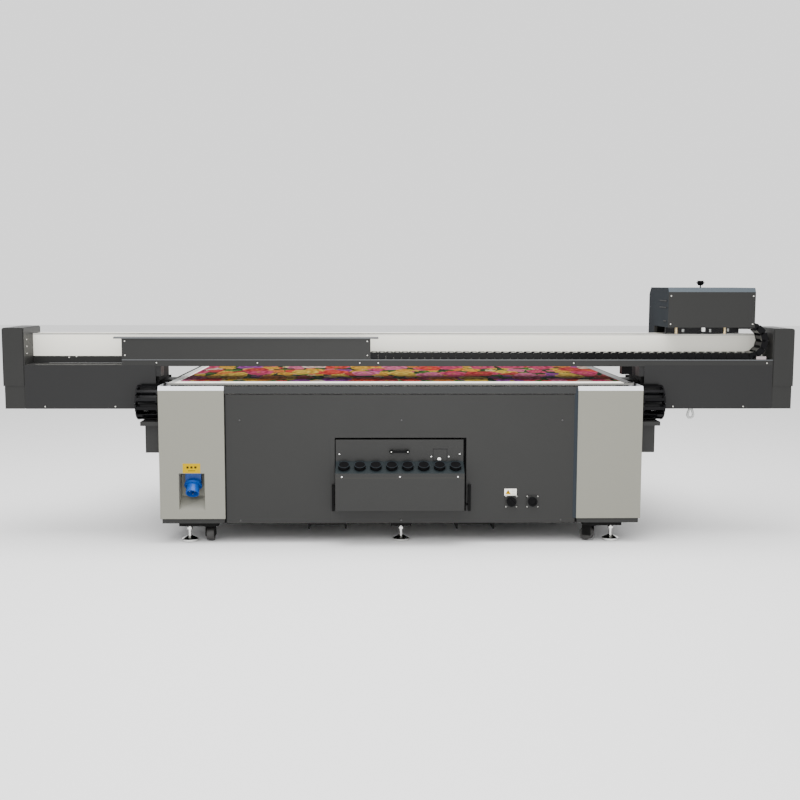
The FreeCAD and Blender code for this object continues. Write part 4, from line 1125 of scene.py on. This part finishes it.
TRAY_EDGE = 1.0300
boxes("tray_lip_fold", [((cover_box[0].x, back + 0.0008, TRAY_EDGE - 0.0035),
                         (beam_high.x, back + 0.012, TRAY_EDGE + 0.0020))], lip_highlight, "gantry")
line_grey = powder_coat("beam_line_coat", (0.085, 0.085, 0.085), 0.5)
boxes("beam_edge_strip", [((beam_low.x, beam_low.y - 0.0008, beam_high.z - 0.0005),
                           (beam_high.x, beam_low.y + 0.006, beam_high.z + 0.0035))], line_grey, "gantry")
CHANNEL_LEVELS = (1.0005, 1.0400)
boxes("left_channel", [((beam_low.x, beam_low.y - 0.0030, CHANNEL_LEVELS[0]),
                        (cover_box[0].x, beam_low.y + 0.001, CHANNEL_LEVELS[1]))], dark_coat, "gantry")
stud("left_channel_screw", [(-1.923, beam_low.y - 0.0035, 1.0305)], head_shape, zinc, "gantry")
print("beam strips on", round(beam_low.y, 4))


# %% Strips beside the panel
return_blue = powder_coat("return_coat", (0.014, 0.019, 0.025), 0.45)
RETURN = ((0.9720, -0.8192), (0.9895, -0.8192), (0.9895, -0.8335))
COVER_LEVELS = (0.1425, 0.880)
LEFT_GAP = ((-0.9898, -0.8198, 0.143), (-0.9835, -0.8190, 0.848))


def upright(outline, low, high):
    """A closed solid: an outline in x and y, drawn out along z."""
    mesh = prism(outline, 0, 1)
    flip = Matrix(((1, 0, 0, 0), (0, 0, 1, 0), (0, high - low, 0, low), (0, 0, 0, 1)))
    mesh.transform(flip)
    mesh.flip_normals()
    return mesh


piece_of("right_cover_return", [upright(RETURN, *COVER_LEVELS)], return_blue, "base")
# A black strip in the gap beside the left cover: painted shadow in the gap.
boxes("left_cover_gap", [LEFT_GAP], black_coat, "base")
print("strips from", COVER_LEVELS[0], "to", COVER_LEVELS[1])


# %% Inner edges of the wings
# The folded inner edge of each wing, next to the gantry's leg.
WING_EDGES = (1.3620, 1.3915)
for side, word in SIDES:
    x = sorted(side * edge for edge in WING_EDGES)
    boxes(word + "_wing_return", [((x[0], -0.6885, 0.9350), (x[1], -0.6000, 0.9995))], wing_coat, "gantry")
print("wing returns between", WING_EDGES)


# %% Drain loop
def tube_tree():
    """A round tube along a path."""
    kinds = (("Radius", "NodeSocketFloat"), ("Finish", "NodeSocketMaterial"))
    tree, start, end = nodes_tree("tube_along_path", kinds)
    curve = grow(tree, "GeometryNodeMeshToCurve", None, {"Mesh": start.outputs["Geometry"]})
    ring = grow(tree, "GeometryNodeCurvePrimitiveCircle", None,
                {"Resolution": 14, "Radius": start.outputs["Radius"]})
    tube = grow(tree, "GeometryNodeCurveToMesh", None,
                {"Curve": curve.outputs["Curve"], "Profile Curve": ring.outputs["Curve"], "Fill Caps": True})
    return finish_tree(tree, start, end, tube.outputs["Mesh"])


hose_low, hose_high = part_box("drain_hose")
HOSE_SWELL = 1.2
hose_radius = (hose_high.y - hose_low.y) / 2 * HOSE_SWELL
hose_middle = (hose_low + hose_high) / 2
loop_reach = (hose_high.x - hose_low.x) / 2 - hose_radius
drop = hose_high.z - hose_low.z
loop_points = []
LOOP_STEPS = 48
for step in range(LOOP_STEPS + 1):
    turn = 2 * math.pi * (step / LOOP_STEPS - 0.5)
    wide = math.sin(turn) * (0.25 + 0.75 * math.cos(turn / 2) ** 2)
    height = (1 - math.cos(turn)) / 2
    loop_points.append((hose_middle.x + wide * loop_reach, hose_middle.y,
                        hose_low.z + hose_radius + height * (drop - hose_radius)))
drain = run_tree("drain_loop", tube_tree(), path_mesh(loop_points),
                 {"Radius": hose_radius, "Finish": hose_clear})
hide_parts("drain_hose")
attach(drain, "gantry")
print("drain loop:", len(drain.data.polygons), "faces")


# %% Carriage louvres and underside
LOUVRES = ((1.366, 0.020, 0.150), (1.328, 0.020, 0.150), (1.250, 0.020, 0.060), (1.180, 0.020, 0.060))
side_x = cover_low.x
louvres = []
for level, start, reach in LOUVRES:
    near = cover_low.y + start + 0.02
    louvres.append(((side_x - 0.0030, near, level - 0.003), (side_x + 0.001, near + reach, level + 0.003)))
# This near black serves the louvre slots and the carriage's underside, and also the painted shadow inside the
# ink bay and round the latch plate.
slot_and_shadow_black = powder_coat("slot_and_shadow_black", (0.006, 0.006, 0.007), 0.6)
boxes("carriage_louvres", louvres, slot_and_shadow_black, "carriage")
print("louvres:", len(louvres))

UNDERSIDE = ((1.545, -0.545, 1.1765), (1.975, -0.532, 1.2135))
SENSORS = (((1.640, -0.5475, 1.1830), (1.654, -0.5445, 1.2000)),
           ((1.800, -0.5475, 1.1830), (1.812, -0.5445, 1.2000)),
           ((1.905, -0.5475, 1.1860), (1.917, -0.5445, 1.2040)))
CHAIN_FOOT = ((2.034, -0.6930, 1.0330), (2.090, -0.6890, 1.0500))
foot_coat = powder_coat("chain_foot_coat", (0.30, 0.26, 0.26), 0.4)
boxes("carriage_underside", [UNDERSIDE], slot_and_shadow_black, "carriage")
boxes("carriage_sensors", SENSORS, inlet_grey, "carriage")
boxes("chain_foot_plate", [CHAIN_FOOT], foot_coat, "gantry")
print("sensors under the carriage:", len(SENSORS))


# %% Ink bay
INK_BAY = ((-0.440, -0.7180, 0.150), (0.440, -0.7150, 0.640))
# A black sheet behind the ink box stands for the shade inside the bay: painted shadow.
boxes("ink_bay_liner", [INK_BAY], slot_and_shadow_black, "base")
print("ink bay closed at", INK_BAY[0][1])


# %% Latch plate and handle ends
LATCH_PLATE = (0.180, 0.255, 0.471, 0.535)
LATCH_SHADOW_FRONT = -0.8225
LATCH_SHADOW_DEPTH = 0.004
LATCH_SHADOW_WIDTH = 0.0022
plate_left, plate_right, plate_low, plate_top = LATCH_PLATE
latch_shadow_back = LATCH_SHADOW_FRONT + LATCH_SHADOW_DEPTH
# Thin black strips along the latch plate's sides and top: painted shadow along its edges.
rims = [((plate_left - LATCH_SHADOW_WIDTH, LATCH_SHADOW_FRONT, plate_low), (plate_left, latch_shadow_back, plate_top)),
        ((plate_right, LATCH_SHADOW_FRONT, plate_low), (plate_right + LATCH_SHADOW_WIDTH, latch_shadow_back, plate_top)),
        ((plate_left - LATCH_SHADOW_WIDTH, LATCH_SHADOW_FRONT, plate_top),
         (plate_right + LATCH_SHADOW_WIDTH, latch_shadow_back, plate_top + LATCH_SHADOW_WIDTH))]
boxes("latch_plate_shadow", rims, slot_and_shadow_black, "ink_box")
latch_spots = [(x, -0.8192, 0.493) for x in (plate_left - 0.012, plate_right + 0.012)]
stud("latch_plate_screws", latch_spots, head_shape, white_plastic, "ink_box")
ball = turned("handle_end", ((0, -0.011), (0.008, -0.008), (0.011, 0), (0.008, 0.008), (0, 0.011)), 16)
handle_low, handle_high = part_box("ink_box_handle")
handle_level = (handle_low.z + handle_high.z) / 2
bar_ends = [(x, handle_low.y + 0.005, handle_level) for x in (handle_low.x + 0.003, handle_high.x - 0.003)]
stud("handle_ends", bar_ends, ball, black_plastic, "ink_box")
end_spots = [(x, y - 0.0105, z) for x, y, z in bar_ends]
stud("handle_screws", end_spots, head_shape, zinc, "ink_box")
print("ink box details ready")


# %% Cap rims
def cap_profile(radius):
    """The profile of the thin ring round a cap's top edge."""
    inner = radius - 0.004
    return ((inner, 0.0), (radius, 0.0), (radius, 0.0012), (inner, 0.0012), (inner, 0.0))


SHELF_FACING = (0.0, -0.440, 0.898)
CAP_RADIUS = 0.0325
RIM_LIFT = 0.0102
rim_shape = turned("cap_rim", cap_profile(CAP_RADIUS), 32)
rim_finish = moulded("cap_rim", (0.008, 0.011, 0.014), 0.3, gloss=0.25)
for number in range(1, 9):
    low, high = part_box("ink_cap_" + str(number))
    middle = (low + high) / 2 + Vector(SHELF_FACING) * RIM_LIFT
    stud("cap_rim_" + str(number), [middle], rim_shape, rim_finish, "cap_" + str(number), SHELF_FACING)
print("cap rims ready")
